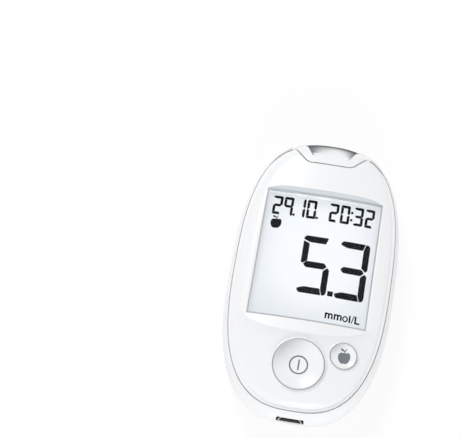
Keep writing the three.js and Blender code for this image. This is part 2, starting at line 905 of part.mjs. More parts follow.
function sideContactSlot(side) {
  const x = side * (cellX + cell.radius + bay.clearance / 2);
  return box(
    contact.thickness + contact.tailSlot, contact.sideWidth + 2 * contact.tailSlot,
    bayRoofUnder - board.partGap, bayRoofTop + overrun, x, 0,
  );
}

// The door hooks under the bay's far edge and swings down from there.
function batteryDoor() {
  const halfWidth = bayHalfWidth - door.gap;
  const halfLength = bayHalfLength - door.gap;
  let piece = solid(slab(roundedRectangle(halfWidth, halfLength, door.cornerRadius), 0, door.thickness, 4));
  const hookLow = housing.floor + door.gap;
  const hookHigh = hookLow + door.hookThickness;
  for (const side of [-1, 1]) {
    const hook = acrossX(
      [
        [halfLength - door.riserDepth, door.thickness / 2],
        [halfLength, door.thickness / 2],
        [halfLength, hookLow],
        [bayHalfLength + door.hookReach, hookLow],
        [bayHalfLength + door.hookReach, hookHigh],
        [halfLength - door.riserDepth, hookHigh],
      ],
      side * door.hookX - door.hookWidth / 2,
      side * door.hookX + door.hookWidth / 2,
    );
    piece = piece.add(solid(hook));
  }
  const tab = box(
    door.latchWidth, 2 * door.latchReach, 0, door.latchThickness, 0, -halfLength,
  );
  const postY = -halfLength + door.latchNose;
  const postTop = door.thickness + door.latchPostHeight;
  const latch = acrossX(
    [
      [postY, door.thickness / 2],
      [postY + door.latchPostDepth, door.thickness / 2],
      [postY + door.latchPostDepth, postTop],
      [postY, postTop],
      [-halfLength, postTop - door.latchNose / 2],
      [-halfLength, postTop - door.latchNose],
      [postY, postTop - door.latchNose],
    ],
    -door.latchWidth / 2,
    door.latchWidth / 2,
  );
  return piece.add(solid(tab)).add(solid(latch));
}

add("battery_door", batteryDoor(), whiteSatin);
[["left", -1], ["right", 1]].forEach(([name, side]) => {
  add(`battery_cell_${name}`, coinCell(side), steel);
  add(`cell_spring_${name}`, leafSpring(side), gold);
  add(`cell_side_contact_${name}`, sideContact(side), gold);
});

// Board and what it carries

function mainBoard() {
  const places = outline(board.inset, housing.segments);
  const shape = new THREE.Shape(places.map(([x, y]) => new THREE.Vector2(x, y)));
  let plate = solid(slab(shape, boardBottom, boardTop, 1));
  for (const [x, y] of screwPlaces) {
    const hole = round(
      screws.bossRadius + screws.fit, boardBottom - overrun, boardTop + overrun, x, y, screws.segments,
    );
    plate = plate.subtract(solid(hole));
  }
  const notch = box(
    socket.width + 2 * board.seatGap, 2 * (socket.length + board.seatGap), boardBottom - overrun, boardTop + overrun,
    0, -housing.halfLength + socket.recess,
  );
  return plate.subtract(solid(notch));
}

add("main_board", mainBoard(), boardGreen);

const socketMouthY = -housing.halfLength + socket.recess;

function socketShell() {
  const shape = socketShape(0, socket.cornerRadius);
  shape.holes.push(socketShape(-socket.wall, socket.cornerRadius - socket.wall));
  return socketPlace(alongY(shape, socketMouthY, socketMouthY + socket.length, 4));
}

// The insulator: a plug that closes the shell's back, with the thin tongue that carries the contacts.
function socketTongue() {
  const back = socketMouthY + socket.length;
  const gap = board.partGap + socket.wall;
  const plug = socketPlace(
    alongY(socketShape(-gap, socket.cornerRadius - socket.wall), back - 2 * housing.wall, back - board.partGap, 4),
  );
  const blade = box(
    socket.shoulderWidth - 4 * socket.wall, socket.length - housing.wall,
    socket.middle - socket.wall, socket.middle + socket.wall,
    0, (socketMouthY + socket.wall + back - housing.wall) / 2,
  );
  return solid(plug).add(solid(blade));
}

add("data_socket_shell", socketShell(), steel);
add("data_socket_tongue", socketTongue(), chipBlack);

const connectorLow = boardTop + board.partGap;
const connectorBackY = connectorMouthY - connector.length;

function connectorHousing() {
  const half = connector.width / 2;
  const shape = new THREE.Shape();
  shape.moveTo(-half, connectorLow);
  shape.lineTo(half, connectorLow);
  shape.lineTo(half, connectorLow + connector.height);
  shape.lineTo(-half, connectorLow + connector.height);
  shape.closePath();
  const hole = new THREE.Path();
  const slotHalf = connector.slotWidth / 2;
  const low = stripSlot.middle - connector.slotHeight / 2;
  const high = stripSlot.middle + connector.slotHeight / 2;
  hole.moveTo(-slotHalf, low);
  hole.lineTo(-slotHalf, high);
  hole.lineTo(slotHalf, high);
  hole.lineTo(slotHalf, low);
  hole.closePath();
  shape.holes.push(hole);
  return alongY(shape, connectorBackY, connectorMouthY);
}

// A finger along the slot's ceiling that turns down behind the housing to the board.
function connectorContact(place) {
  const x = (place - (connector.contacts - 1) / 2) * connector.contactPitch;
  const high = stripSlot.middle + connector.slotHeight / 2 - board.partGap;
  const t = connector.contactThickness;
  const back = connectorBackY - connector.contactTail;
  const tip = connectorMouthY - connector.length / 4;
  const dip = connector.length / 8;
  const profile = [
    [tip, high],
    [back, high],
    [back, connectorLow],
    [back + t, connectorLow],
    [back + t, high - t],
    [tip - dip, high - t],
    [tip - dip / 2, high - 2 * t],
    [tip, high - t],
  ];
  return acrossX(profile, x - connector.contactWidth / 2, x + connector.contactWidth / 2);
}

add("strip_connector_housing", connectorHousing(), innerPlastic);
for (let place = 0; place < connector.contacts; place += 1) {
  add(`strip_contact_${place + 1}`, connectorContact(place), gold);
}

// Display stack, built downwards from the ledge

const polarizerTop = ledgeUnder - lcd.topGap;
const frontGlassTop = polarizerTop - lcd.polarizerThickness - lcd.sheetGap;
const frontGlassBottom = frontGlassTop - lcd.glassThickness;
const rearGlassTop = frontGlassBottom - lcd.sheetGap;
const rearGlassBottom = rearGlassTop - lcd.glassThickness;
const rearPolarizerTop = rearGlassBottom - lcd.sheetGap;
const diffuserTop = rearPolarizerTop - lcd.polarizerThickness - lcd.sheetGap;
const guideTop = diffuserTop - lcd.diffuserThickness - lcd.sheetGap;
const guideBottom = guideTop - lcd.guideThickness;
const shelfTop = guideBottom - lcd.sheetGap;

function sheet(low, high, nearInset) {
  const nearY = displayBottomY - lcd.border + nearInset;
  const farY = displayTopY + lcd.border;
  return box(displayWidth + 2 * lcd.border, farY - nearY, low, high, 0, (nearY + farY) / 2);
}

add("front_polarizer", sheet(polarizerTop - lcd.polarizerThickness, polarizerTop, lcd.border), polarizer);
add("lcd_front_glass", sheet(frontGlassBottom, frontGlassTop, 0), glass);
add("lcd_rear_glass", sheet(rearGlassBottom, rearGlassTop, lcd.contactLedge), glass);
add(
  "rear_polarizer",
  sheet(rearPolarizerTop - lcd.polarizerThickness, rearPolarizerTop, lcd.contactLedge),
  polarizer,
);
add("diffuser_sheet", sheet(diffuserTop - lcd.diffuserThickness, diffuserTop, lcd.contactLedge), milky);
add("light_guide", sheet(guideBottom, guideTop, lcd.contactLedge), milky);

function lcdFrame() {
  const halfWidth = displayWidth / 2 + lcd.border + lcd.frameClearance + lcd.frameWall;
  const halfLength = displayLength / 2 + lcd.border + lcd.frameClearance + lcd.frameWall;
  const low = boardTop + board.partGap;
  const outer = slab(roundedRectangle(halfWidth, halfLength, lcd.cornerRadius), low, rearGlassTop, 3);
  outer.translate(0, displayMiddleY, 0);
  const inner = box(
    2 * (halfWidth - lcd.frameWall), 2 * (halfLength - lcd.frameWall), shelfTop, rearGlassTop + overrun,
    0, displayMiddleY,
  );
  const below = box(
    2 * (halfWidth - lcd.frameWall), 2 * (halfLength - lcd.frameWall), low - overrun,
    shelfTop - lcd.shelfThickness, 0, displayMiddleY,
  );
  const through = box(
    2 * (halfWidth - lcd.frameWall - lcd.shelfWidth),
    2 * (halfLength - lcd.frameWall) - lcd.shelfWidth,
    low - overrun, rearGlassTop + overrun, 0, displayMiddleY - lcd.shelfWidth / 2,
  );
  return solid(outer).subtract(solid(inner)).subtract(solid(below)).subtract(solid(through));
}

add("lcd_frame", lcdFrame(), innerPlastic);
add(
  "zebra_connector",
  box(
    displayWidth - 2 * lcd.zebraInset, lcd.zebraWidth, boardTop + board.partGap, frontGlassBottom - lcd.sheetGap,
    0, displayBottomY + lcd.contactLedge / 2,
  ),
  elastomer,
);

// Electronic parts on the board

const controllerChip = { side: 10.0, height: 1.4, sideMargin: 16.0, endMargin: 38.0 };
const analogChip = { width: 7.0, depth: 5.0, height: 1.2, sideMargin: 20.0, endMargin: 30.0 };
const memoryChip = { width: 5.0, depth: 4.0, height: 1.1, sideMargin: 15.5, endMargin: 42.5 };

function chip(width, depth, height, x, y) {
  const low = boardTop + board.partGap;
  const geometry = slab(roundedRectangle(width / 2, depth / 2, height / 4), low, low + height, 2);
  geometry.translate(x, y, 0);
  return geometry;
}

const controllerX = -housing.halfWidth + controllerChip.sideMargin + controllerChip.side / 2;
const controllerY = -housing.halfLength + controllerChip.endMargin + controllerChip.side / 2;
const analogX = housing.halfWidth - analogChip.sideMargin - analogChip.width / 2;
const analogY = housing.halfLength - analogChip.endMargin - analogChip.depth / 2;
const memoryX = housing.halfWidth - memoryChip.sideMargin - memoryChip.width / 2;
const memoryY = -housing.halfLength + memoryChip.endMargin + memoryChip.depth / 2;
const controllerBody = chip(
  controllerChip.side, controllerChip.side, controllerChip.height, controllerX, controllerY,
);
const analogBody = chip(analogChip.width, analogChip.depth, analogChip.height, analogX, analogY);
const memoryBody = chip(memoryChip.width, memoryChip.depth, memoryChip.height, memoryX, memoryY);
add("controller_chip", controllerBody, chipBlack);
add("analog_front_end_chip", analogBody, chipBlack);
add("memory_chip", memoryBody, chipBlack);

const crystal = { length: 8.0, radius: 1.2, sideDistance: 17.5, endDistance: 55.0 };
const crystalShape = roundedRectangle(crystal.radius, crystal.length / 2, crystal.radius * 0.999);
const crystalCan = slab(
  crystalShape, boardTop + board.partGap, boardTop + board.partGap + 2 * crystal.radius, 5,
);
const crystalX = housing.halfWidth - crystal.sideDistance;
const crystalY = -housing.halfLength + crystal.endDistance;
crystalCan.translate(crystalX, crystalY, 0);
add("crystal_can", crystalCan, steel);

const backlight = { width: 3.0, depth: 1.6, height: 1.2, sideDistance: 19.0, endDistance: 26.5 };
[["left", -1], ["right", 1]].forEach(([name, side]) => {
  const low = boardTop + board.partGap;
  const x = side * (housing.halfWidth - backlight.sideDistance);
  const y = housing.halfLength - backlight.endDistance;
  const led = box(backlight.width, backlight.depth, low, low + backlight.height, x, y);
  add(`backlight_led_${name}`, led, milky);
});

const buzzer = { sideDistance: 11.8, endDistance: 23.5, radius: 4.5, height: 2.2, port: 0.8, portDepth: 0.6 };
const buzzerLow = boardTop + board.partGap;
const buzzerProfile = [
  [0, buzzerLow],
  [buzzer.radius, buzzerLow],
  [buzzer.radius, buzzerLow + buzzer.height],
  [buzzer.port, buzzerLow + buzzer.height],
  [buzzer.port, buzzerLow + buzzer.height - buzzer.portDepth],
  [0, buzzerLow + buzzer.height - buzzer.portDepth],
];
const buzzerCan = lathe(buzzerProfile, 28);
buzzerCan.translate(-housing.halfWidth + buzzer.sideDistance, -housing.halfLength + buzzer.endDistance, 0);
add("buzzer", buzzerCan, chipBlack);

// Case screws, driven from the back into the bosses of the front cover

function caseScrew([x, y]) {
  const seat = screws.counterbore - board.partGap;
  const crown = screws.headHeight / 3;
  const geometry = lathe(
    [
      [0, seat - screws.headHeight],
      [screws.headRadius - crown, seat - screws.headHeight],
      [screws.headRadius, seat - screws.headHeight + crown],
      [screws.headRadius, seat],
      [screws.shankRadius, seat],
      [screws.shankRadius, seat + screws.length - screws.shankRadius],
      [0, seat + screws.length],
    ],
    screws.segments,
  );
  geometry.translate(x, y, 0);
  return geometry;
}

screwPlaces.forEach((place, index) => add(`case_screw_${index + 1}`, caseScrew(place), steel));

export default meter;
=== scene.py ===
# %% [markdown]
# # Dressing a blood glucose meter
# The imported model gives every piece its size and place. This lesson builds the surfaces that show:
# a white pebble of a housing, a clear window, a display with numbers, and two keys.
# The frame is loaded first, and nothing in it is moved.

import json
import math

import bpy
import numpy as np
from mathutils import Matrix, Vector
from mathutils.geometry import delaunay_2d_cdt


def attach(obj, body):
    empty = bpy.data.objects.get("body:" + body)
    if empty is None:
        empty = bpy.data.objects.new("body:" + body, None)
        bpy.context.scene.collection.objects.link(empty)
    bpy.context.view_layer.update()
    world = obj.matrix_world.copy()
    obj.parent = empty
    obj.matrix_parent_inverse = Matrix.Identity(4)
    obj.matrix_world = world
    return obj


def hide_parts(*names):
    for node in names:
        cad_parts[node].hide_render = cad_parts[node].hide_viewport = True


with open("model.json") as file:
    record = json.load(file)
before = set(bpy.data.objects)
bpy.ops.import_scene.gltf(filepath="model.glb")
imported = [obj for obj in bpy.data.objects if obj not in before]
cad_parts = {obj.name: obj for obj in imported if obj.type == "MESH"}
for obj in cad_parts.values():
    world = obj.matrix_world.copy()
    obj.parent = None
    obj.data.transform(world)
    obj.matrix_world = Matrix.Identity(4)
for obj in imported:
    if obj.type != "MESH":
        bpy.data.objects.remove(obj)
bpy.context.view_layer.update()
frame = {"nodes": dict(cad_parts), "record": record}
MM = 0.001
print("CAD nodes:", len(frame["nodes"]))

# %% [markdown]
# ## The camera
# The camera stands where the photographer stood. It was found by fitting a pinhole camera to the
# outline, the window's corners and both keys, so the lens and the place are given, not guessed.
# It is made first, because every later step is judged through it.

# %% The camera
camera_place = (2.08, -196.84, 457.61)
look = Vector((-0.06413742, 0.42982685, -0.90063048))
camera_right = Vector((0.98606778, 0.16609774, 0.00904857))
focal_length = 116.85
camera_data = bpy.data.cameras.new("camera")
camera_data.lens = focal_length
camera_data.sensor_width = 36.0
camera_data.clip_start = 0.01
camera = bpy.data.objects.new("camera", camera_data)
bpy.context.collection.objects.link(camera)
bpy.context.scene.camera = camera
back = -look.normalized()
right = (camera_right - camera_right.dot(back) * back).normalized()
up = back.cross(right)
turn = Matrix((right, up, back)).transposed().to_4x4()
camera.matrix_world = Matrix.Translation(Vector(camera_place) * MM) @ turn
print("camera to object:", round((Vector(camera_place) * MM).length, 3), "m")

# %% [markdown]
# ## The form behind the housing
# Every level of the housing is one rounded oblong, drawn in by some offset. A superellipse gives
# that oblong with a single power, so the rim, the shoulder and the crown stay parallel.
# Working with formulas, and not with sculpted points, keeps all pieces flush with each other.

# %% Sizes of the housing, in millimetres
half_width = 27.0
half_length = 49.0
outline_power = 2.71
parting_height = 14.6
belly_height = 8.9
parting_inset = 1.78
back_inset = 4.6
underside_power = 2.2
wall = 1.6
bead_width = 1.0
crown_half_width = half_width - parting_inset - bead_width
crown_half_length = half_length - parting_inset - bead_width


def oblong_norm(x, y, a, b):
    return (np.abs(x / a) ** outline_power + np.abs(y / b) ** outline_power) ** (1 / outline_power)


def oblong(inset, count, share=1.0):
    angle = np.linspace(0, 2 * np.pi, count, endpoint=False)
    c = np.cos(angle)
    s = np.sin(angle)
    x = (half_width - inset) * share * np.sign(c) * np.abs(c) ** (2 / outline_power)
    y = (half_length - inset) * share * np.sign(s) * np.abs(s) ** (2 / outline_power)
    return np.column_stack([x, y])


def even_oblong(inset, count, share=1.0):
    fine = oblong(inset, 4000, share)
    step = np.linalg.norm(np.roll(fine, -1, axis=0) - fine, axis=1)
    along = np.concatenate([[0], np.cumsum(step)])
    closed = np.vstack([fine, fine[:1]])
    wanted = np.linspace(0, along[-1], count, endpoint=False)
    return np.column_stack([np.interp(wanted, along, closed[:, axis]) for axis in (0, 1)])


def bisect(near, far, is_near, steps=40):
    for _ in range(steps):
        middle = (near + far) / 2
        before = is_near(middle)
        near = np.where(before, middle, near)
        far = np.where(before, far, middle)
    return near, far


def inset_of(x, y):
    low = np.full_like(x, -1.0)
    high = np.full_like(x, half_width - 0.05)

    def is_inside(inset):
        return oblong_norm(x, y, half_width - inset, half_length - inset) <= 1

    low, high = bisect(low, high, is_inside)
    return (low + high) / 2


print("parting outline:", 2 * (half_width - parting_inset), "x", 2 * (half_length - parting_inset), "mm")

# %% The crown of the face, above the parting plane
bead_rise = 0.5
shoulder_rise = 2.9
crown_rise = 1.6
shoulder_reach_power = 5
shoulder_turn_power = 2.6


def crown(x, y):
    reach = np.minimum(oblong_norm(x, y, crown_half_width, crown_half_length), 1)
    shoulder = (1 - reach**shoulder_reach_power) ** (1 / shoulder_turn_power)
    return bead_rise + shoulder * (shoulder_rise + crown_rise * (1 - (x / crown_half_width) ** 2))


def soft_min(a, b, width):
    share = np.clip(0.5 + 0.5 * (b - a) / width, 0, 1)
    return b * (1 - share) + a * share - width * share * (1 - share)


def soft_max(a, b, width):
    return -soft_min(-a, -b, width)


def rounded_edge(distance, radius):
    inward = np.clip(radius - distance, 0, radius)
    return radius - np.sqrt(np.maximum(radius**2 - inward**2, 0))


def smooth_step(value, low, high):
    share = np.clip((value - low) / (high - low), 0, 1)
    return share * share * (3 - 2 * share)


print("crown height:", float(crown(np.array([0.0]), np.array([0.0]))[0]), "mm above the parting plane")

# %% [markdown]
# ## A solid over one plan
# Moulded covers are heights over a plan: a top, an underside, and walls where the plan ends. A plan
# can be triangulated between feature lines, so that every edge of a window, key or rim has its own
# rows of points. Subdivision would soften those edges and booleans would leave long thin faces, so
# the plan is filled with a Delaunay triangulation and lifted by the height formula.

# %% Lift a plan into a solid
def new_mesh_object(name, vertices, faces, smooth_angle=38.0):
    mesh = bpy.data.meshes.new(name)
    places = [tuple(v) for v in np.asarray(vertices) * MM]
    mesh.from_pydata(places, [], [tuple(int(i) for i in face) for face in faces])
    mesh.update()
    mesh.polygons.foreach_set("use_smooth", [True] * len(mesh.polygons))
    mesh.set_sharp_from_angle(angle=math.radians(smooth_angle))
    obj = bpy.data.objects.new(name, mesh)
    bpy.context.collection.objects.link(obj)
    return obj


def fill_plan(loops, loose, keep):
    points = []
    edges = []
    for loop, is_closed in loops:
        first = len(points)
        points += [Vector((float(x), float(y))) for x, y in loop]
        count = len(loop)
        last = count if is_closed else count - 1
        edges += [(first + i, first + (i + 1) % count) for i in range(last)]
    points += [Vector((float(x), float(y))) for x, y in loose]
    flat, _, faces, _, _, _ = delaunay_2d_cdt(points, edges, [], 0, 1e-5)
    plan = np.array([(v.x, v.y) for v in flat])
    triangles = np.array([list(f) for f in faces if len(f) == 3])
    a, b, c = plan[triangles[:, 0]], plan[triangles[:, 1]], plan[triangles[:, 2]]
    area = (b[:, 0] - a[:, 0]) * (c[:, 1] - a[:, 1]) - (b[:, 1] - a[:, 1]) * (c[:, 0] - a[:, 0])
    triangles[area < 0] = triangles[area < 0][:, ::-1]
    centre = (a + b + c) / 3
    kept = triangles[keep(centre[:, 0], centre[:, 1]) & (np.abs(area) > 1e-9)]
    used, renumbered = np.unique(kept, return_inverse=True)
    return plan[used], renumbered.reshape(kept.shape)


def in_polygon(x, y, polygon):
    inside = np.zeros(len(x), dtype=bool)
    for (ax, ay), (bx, by) in zip(polygon, np.roll(polygon, -1, axis=0)):
        if ay != by:
            inside ^= ((ay > y) != (by > y)) & (x < ax + (y - ay) * (bx - ax) / (by - ay))
    return inside


def plan_solid(name, plan, triangles, top, under, smooth_angle=38.0):
    count = len(plan)
    vertices = np.vstack([np.column_stack([plan, top]), np.column_stack([plan, under])])
    directed = {}
    for i, j, k in triangles:
        for edge in ((i, j), (j, k), (k, i)):
            directed[edge] = True
    rim = [(i, j) for i, j in directed if (j, i) not in directed]
    faces = [tuple(t) for t in triangles]
    faces += [(k + count, j + count, i + count) for i, j, k in triangles]
    faces += [(j, i, i + count, j + count) for i, j in rim]
    return new_mesh_object(name, vertices, faces, smooth_angle)


def circle_points(x, y, radius, count):
    angle = np.linspace(0, 2 * np.pi, count, endpoint=False)
    return np.column_stack([x + radius * np.cos(angle), y + radius * np.sin(angle)])


def rounded_box_points(x0, x1, y0, y1, radius, spacing):
    corners = [(x1 - radius, y1 - radius, 0), (x0 + radius, y1 - radius, 90)]
    corners += [(x0 + radius, y0 + radius, 180), (x1 - radius, y0 + radius, 270)]
    turned = []
    for cx, cy, start in corners:
        for step in range(7):
            angle = math.radians(start + 15 * step)
            turned.append((cx + radius * math.cos(angle), cy + radius * math.sin(angle)))
    points = []
    for (ax, ay), (bx, by) in zip(turned, turned[1:] + turned[:1]):
        pieces = max(1, int(round(math.hypot(bx - ax, by - ay) / spacing)))
        points += [(ax + (bx - ax) * i / pieces, ay + (by - ay) * i / pieces) for i in range(pieces)]
    return np.array(points)


def grid_points(x0, x1, y0, y1, spacing):
    points = []
    for row, y in enumerate(np.arange(y0, y1, spacing * 0.866)):
        points += [(x, y) for x in np.arange(x0 + (row % 2) * spacing / 2, x1, spacing)]
    return np.array(points)


print("plan tools ready")

# %% [markdown]
# ## Finishes
# The real meter is injection moulded in white plastic, with a very fine, almost invisible texture
# and slight changes of gloss. A noise at two scales drives bump and roughness. A flat colour with
# one roughness would look like paint on a wall, and an image texture would not fit every side.

# %% Node helpers
def new_finish(name):
    made = bpy.data.materials.new(name)
    made.use_nodes = True
    return made, made.node_tree, made.node_tree.nodes["Principled BSDF"]


def add_node(tree, kind, **values):
    node = tree.nodes.new("ShaderNode" + kind)
    for name, value in values.items():
        node.inputs[name.replace("_", " ")].default_value = value
    return node


def join(tree, source, output, target, entry):
    tree.links.new(source.outputs[output], target.inputs[entry])


def colour_mix(tree, first, second):
    mix = tree.nodes.new("ShaderNodeMix")
    mix.data_type = "RGBA"
    mix.inputs["A"].default_value = (*first, 1)
    mix.inputs["B"].default_value = (*second, 1)
    return mix


def set_socket(shader, name, value):
    shader.inputs[name].default_value = value


print("node helpers ready")

# %% Moulded plastic
cloud_scale = 90.0
pore_scale = 3500.0
pore_depth = 0.00004


def mould_finish(name, colour, roughness, grain=0.02, variation=0.012):
    made, tree, shader = new_finish(name)
    set_socket(shader, "IOR", 1.5)
    place = add_node(tree, "TexCoord")
    cloud = add_node(tree, "TexNoise", Scale=cloud_scale, Detail=3.0)
    join(tree, place, "Object", cloud, "Vector")
    darker = tuple(c * (1 - variation) for c in colour)
    lighter = tuple(min(1.0, c * (1 + variation)) for c in colour)
    tint = colour_mix(tree, darker, lighter)
    join(tree, cloud, "Fac", tint, "Factor")
    join(tree, tint, "Result", shader, "Base Color")
    gloss = add_node(tree, "MapRange", To_Min=roughness * 0.9, To_Max=roughness * 1.12)
    join(tree, cloud, "Fac", gloss, "Value")
    join(tree, gloss, "Result", shader, "Roughness")
    pores = add_node(tree, "TexNoise", Scale=pore_scale, Detail=2.0)
    join(tree, place, "Object", pores, "Vector")
    bump = add_node(tree, "Bump", Strength=grain, Distance=pore_depth)
    join(tree, pores, "Fac", bump, "Height")
    join(tree, bump, "Normal", shader, "Normal")
    return made


cover_white = (0.885, 0.893, 0.905)
rear_white = (0.87, 0.878, 0.89)
white_gloss = mould_finish("white_gloss_plastic", cover_white, 0.3, grain=0.05)
white_satin = mould_finish("white_satin_plastic", rear_white, 0.4, grain=0.12)
mid_plastic = mould_finish("inner_grey_plastic", (0.06, 0.065, 0.07), 0.5, grain=0.2, variation=0.08)
milky_plastic = mould_finish("milky_plastic", (0.86, 0.875, 0.9), 0.45, grain=0.05)
key_print = mould_finish("key_print", (0.155, 0.178, 0.2), 0.5, grain=0.1, variation=0.05)
print("plastics:", len(bpy.data.materials))

# %% [markdown]
# Some shade is painted into the colour: in the corner of a scoop, on the wall of a bevel, in a groove.
# A number per point says how much of a second colour shows there. It is worked out from the form,
# from distances to its edges, so it needs no picture and stays right when a size changes.

# %% Plastic with painted shade stored on its points
def shaded_finish(name, colour, second_colour, shade_name, roughness=0.3, grain=0.05):
    made = mould_finish(name, colour, roughness, grain=grain)
    tree = made.node_tree
    shader = tree.nodes["Principled BSDF"]
    plain = shader.inputs["Base Color"].links[0].from_node
    reader = add_node(tree, "Attribute")
    reader.attribute_name = shade_name
    mix = colour_mix(tree, colour, second_colour)
    join(tree, reader, "Fac", mix, "Factor")
    join(tree, plain, "Result", mix, "A")
    join(tree, mix, "Result", shader, "Base Color")
    return made


def store_shade(obj, name, shade):
    attribute = obj.data.attributes.new(name, "FLOAT", "POINT")
    attribute.data.foreach_set("value", np.clip(shade, 0, 1).astype(np.float32))


def points_of(mesh):
    places = np.zeros(3 * len(mesh.vertices), dtype=np.float32)
    mesh.vertices.foreach_get("co", places)
    return places.reshape(-1, 3).astype(float) / MM


def wear(obj, finish):
    obj.data.materials.clear()
    obj.data.materials.append(finish)


def paint_faces(obj, first, second, is_second):
    middles = np.array([polygon.center for polygon in obj.data.polygons]).T / MM
    obj.data.materials.append(first)
    obj.data.materials.append(second)
    obj.data.polygons.foreach_set("material_index", is_second(middles[0], middles[1]).astype(np.int32))


print("shade helpers ready")

# %% [markdown]
# ## Metals
# Contacts are gold over spring metal, and the cells, screws and socket are bright steel. Drawn and
# turned metal has fine lines, so a stretched noise drives its roughness.

# %% Metals
line_stretch = (1, 1, 12)


def metal_finish(name, colour, roughness):
    made, tree, shader = new_finish(name)
    set_socket(shader, "Metallic", 1.0)
    place = add_node(tree, "TexCoord")
    mapping = add_node(tree, "Mapping", Scale=line_stretch)
    join(tree, place, "Object", mapping, "Vector")
    lines = add_node(tree, "TexNoise", Scale=900.0, Detail=4.0)
    join(tree, mapping, "Vector", lines, "Vector")
    gloss = add_node(tree, "MapRange", To_Min=roughness * 0.7, To_Max=roughness * 1.35)
    join(tree, lines, "Fac", gloss, "Value")
    join(tree, gloss, "Result", shader, "Roughness")
    tint = colour_mix(tree, tuple(c * 0.93 for c in colour), colour)
    join(tree, lines, "Fac", tint, "Factor")
    join(tree, tint, "Result", shader, "Base Color")
    bump = add_node(tree, "Bump", Strength=0.08, Distance=0.00002)
    join(tree, lines, "Fac", bump, "Height")
    join(tree, bump, "Normal", shader, "Normal")
    return made


bright_steel = metal_finish("bright_steel", (0.68, 0.69, 0.7), 0.26)
contact_gold = metal_finish("contact_gold", (0.83, 0.62, 0.27), 0.3)
print("materials:", len(bpy.data.materials))

# %% [markdown]
# ## Dressing the inner pieces
# Boards, chips and films stay as the frame has them, because no view shows more than a glimpse.
# Each still gets a finish of its own, chosen by the slot that the record names.

# %% Finishes for the carried-over nodes
board_mask = mould_finish("board_mask", (0.015, 0.13, 0.07), 0.35, grain=0.3, variation=0.15)
chip_mould = mould_finish("chip_mould", (0.02, 0.021, 0.023), 0.55, grain=0.6, variation=0.12)
silicone = mould_finish("silicone", (0.62, 0.4, 0.36), 0.7, grain=0.3, variation=0.06)
pane = mould_finish("display_pane", (0.72, 0.76, 0.74), 0.12, grain=0.02)
film = mould_finish("display_film", (0.55, 0.58, 0.55), 0.3, grain=0.02)
finish_of_slot = {
    "gloss_white": white_gloss,
    "satin_white": white_satin,
    "clear_lens": pane,
    "lcd_glass": pane,
    "polarizer": film,
    "milky": milky_plastic,
    "inner_plastic": mid_plastic,
    "board_green": board_mask,
    "chip_black": chip_mould,
    "steel": bright_steel,
    "contact_gold": contact_gold,
    "elastomer": silicone,
}
slot_of_node = {s["node"]: s["material_slot"] for s in frame["record"]["subparts"]}
for node_name, node in frame["nodes"].items():
    finish = finish_of_slot[slot_of_node[node_name]]
    if not node.material_slots:
        node.data.materials.append(finish)
    for material_slot in node.material_slots:
        material_slot.material = finish
print("nodes finished:", len(frame["nodes"]))

# %% [markdown]
# ## The front cover
# The front cover is the piece that the eye reads first: a bead at the rim, a steep shoulder, a soft
# crown, a flare that sinks to the window, and two round holes for the keys, each in a low collar.
# Its plan has a row of points along each of these lines, dense where the form bends and open where
# it is calm.

# %% Window and key places
window_x = 19.0
window_middle = 0.18
window_y0 = -18.3
window_y1 = 26.4
lens_edge_rise = 3.2
lens_sag = 1.0
key_gap = 0.13
power_key = {
    "x": 0.0, "y": -33.5, "radius": 8.08, "rise": 5.1,
    "collar": 0.85, "lean_x": 5.3, "lean_y": 0.0, "dish": 1.45,
}
meal_key = {
    "x": 13.5, "y": -28.3, "radius": 4.2, "rise": 4.3,
    "collar": 0.62, "lean_x": 4.9, "lean_y": 4.2, "dish": 0.75,
}
flare_side_slope = 0.22
flare_top_slope = 0.45
flare_bottom_slope = 0.17
flare_bottom_bend = 0.03
flare_corner_drop = 0.3


def lens_rise(x):
    share = np.clip(np.abs(x - window_middle) / window_x, 0, 1)
    return lens_edge_rise + lens_sag * (1 - share**2)


def window_distance(x, y):
    dx = np.maximum(np.abs(x - window_middle) - window_x, 0)
    dy = np.maximum(np.maximum(y - window_y1, window_y0 - y), 0)
    return np.hypot(dx, dy)


def flare(x, y):
    side = flare_side_slope * np.maximum(0, np.abs(x - window_middle) - window_x)
    top = flare_top_slope * np.maximum(0, y - window_y1)
    slope = flare_bottom_slope + flare_bottom_bend * (x / 18.3) ** 2
    bottom = slope * np.maximum(0, window_y0 - y)
    share = np.clip(np.abs(x - window_middle) / window_x, 0, 1)
    at_top = smooth_step(y, window_y1 - 0.5, window_y1)
    corner_drop = flare_corner_drop * smooth_step(share, 0.3, 0.95) * at_top
    return lens_rise(x) + side + top + bottom - corner_drop


def key_plane(key, x, y):
    lean_x = math.tan(math.radians(key["lean_x"]))
    lean_y = math.tan(math.radians(key["lean_y"]))
    return key["rise"] + (y - key["y"]) * lean_x - (x - key["x"]) * lean_y


def key_distance(key, x, y):
    return np.hypot(x - key["x"], y - key["y"]) - key["radius"] - key_gap


print("window:", 2 * window_x, "x", window_y1 - window_y0, "mm")

# %% [markdown]
# The seam of the strip port runs straight across, slants outward to two soft peaks at the rim, and
# then follows the rim as a thin wing on either side. It is one path of points, which can be drawn
# in or out by an offset, so the cover and the port always leave the same gap.

# %% The cut-out for the strip port
insert_near_y = 37.95
insert_near_half = 7.4
insert_slope = 0.907
insert_corner = 1.6
peak_corner = 1.2
slant_length = math.hypot(1, insert_slope)


def rim_y(x, inset):
    a = half_width - inset
    b = half_length - inset
    return b * (1 - np.abs(x / a) ** outline_power) ** (1 / outline_power)


def seam_inset(x):
    return parting_inset + 0.85 * np.exp(-(x - 12.0) / 2.9) - 0.3 * smooth_step(x, 16.5, 20.5)


def insert_half(y):
    return insert_near_half + (y - insert_near_y) * insert_slope


def bend(start, knee, end, shares):
    share = np.asarray(shares, dtype=float)[:, None]
    return (1 - share) ** 2 * start + 2 * share * (1 - share) * knee + share**2 * end


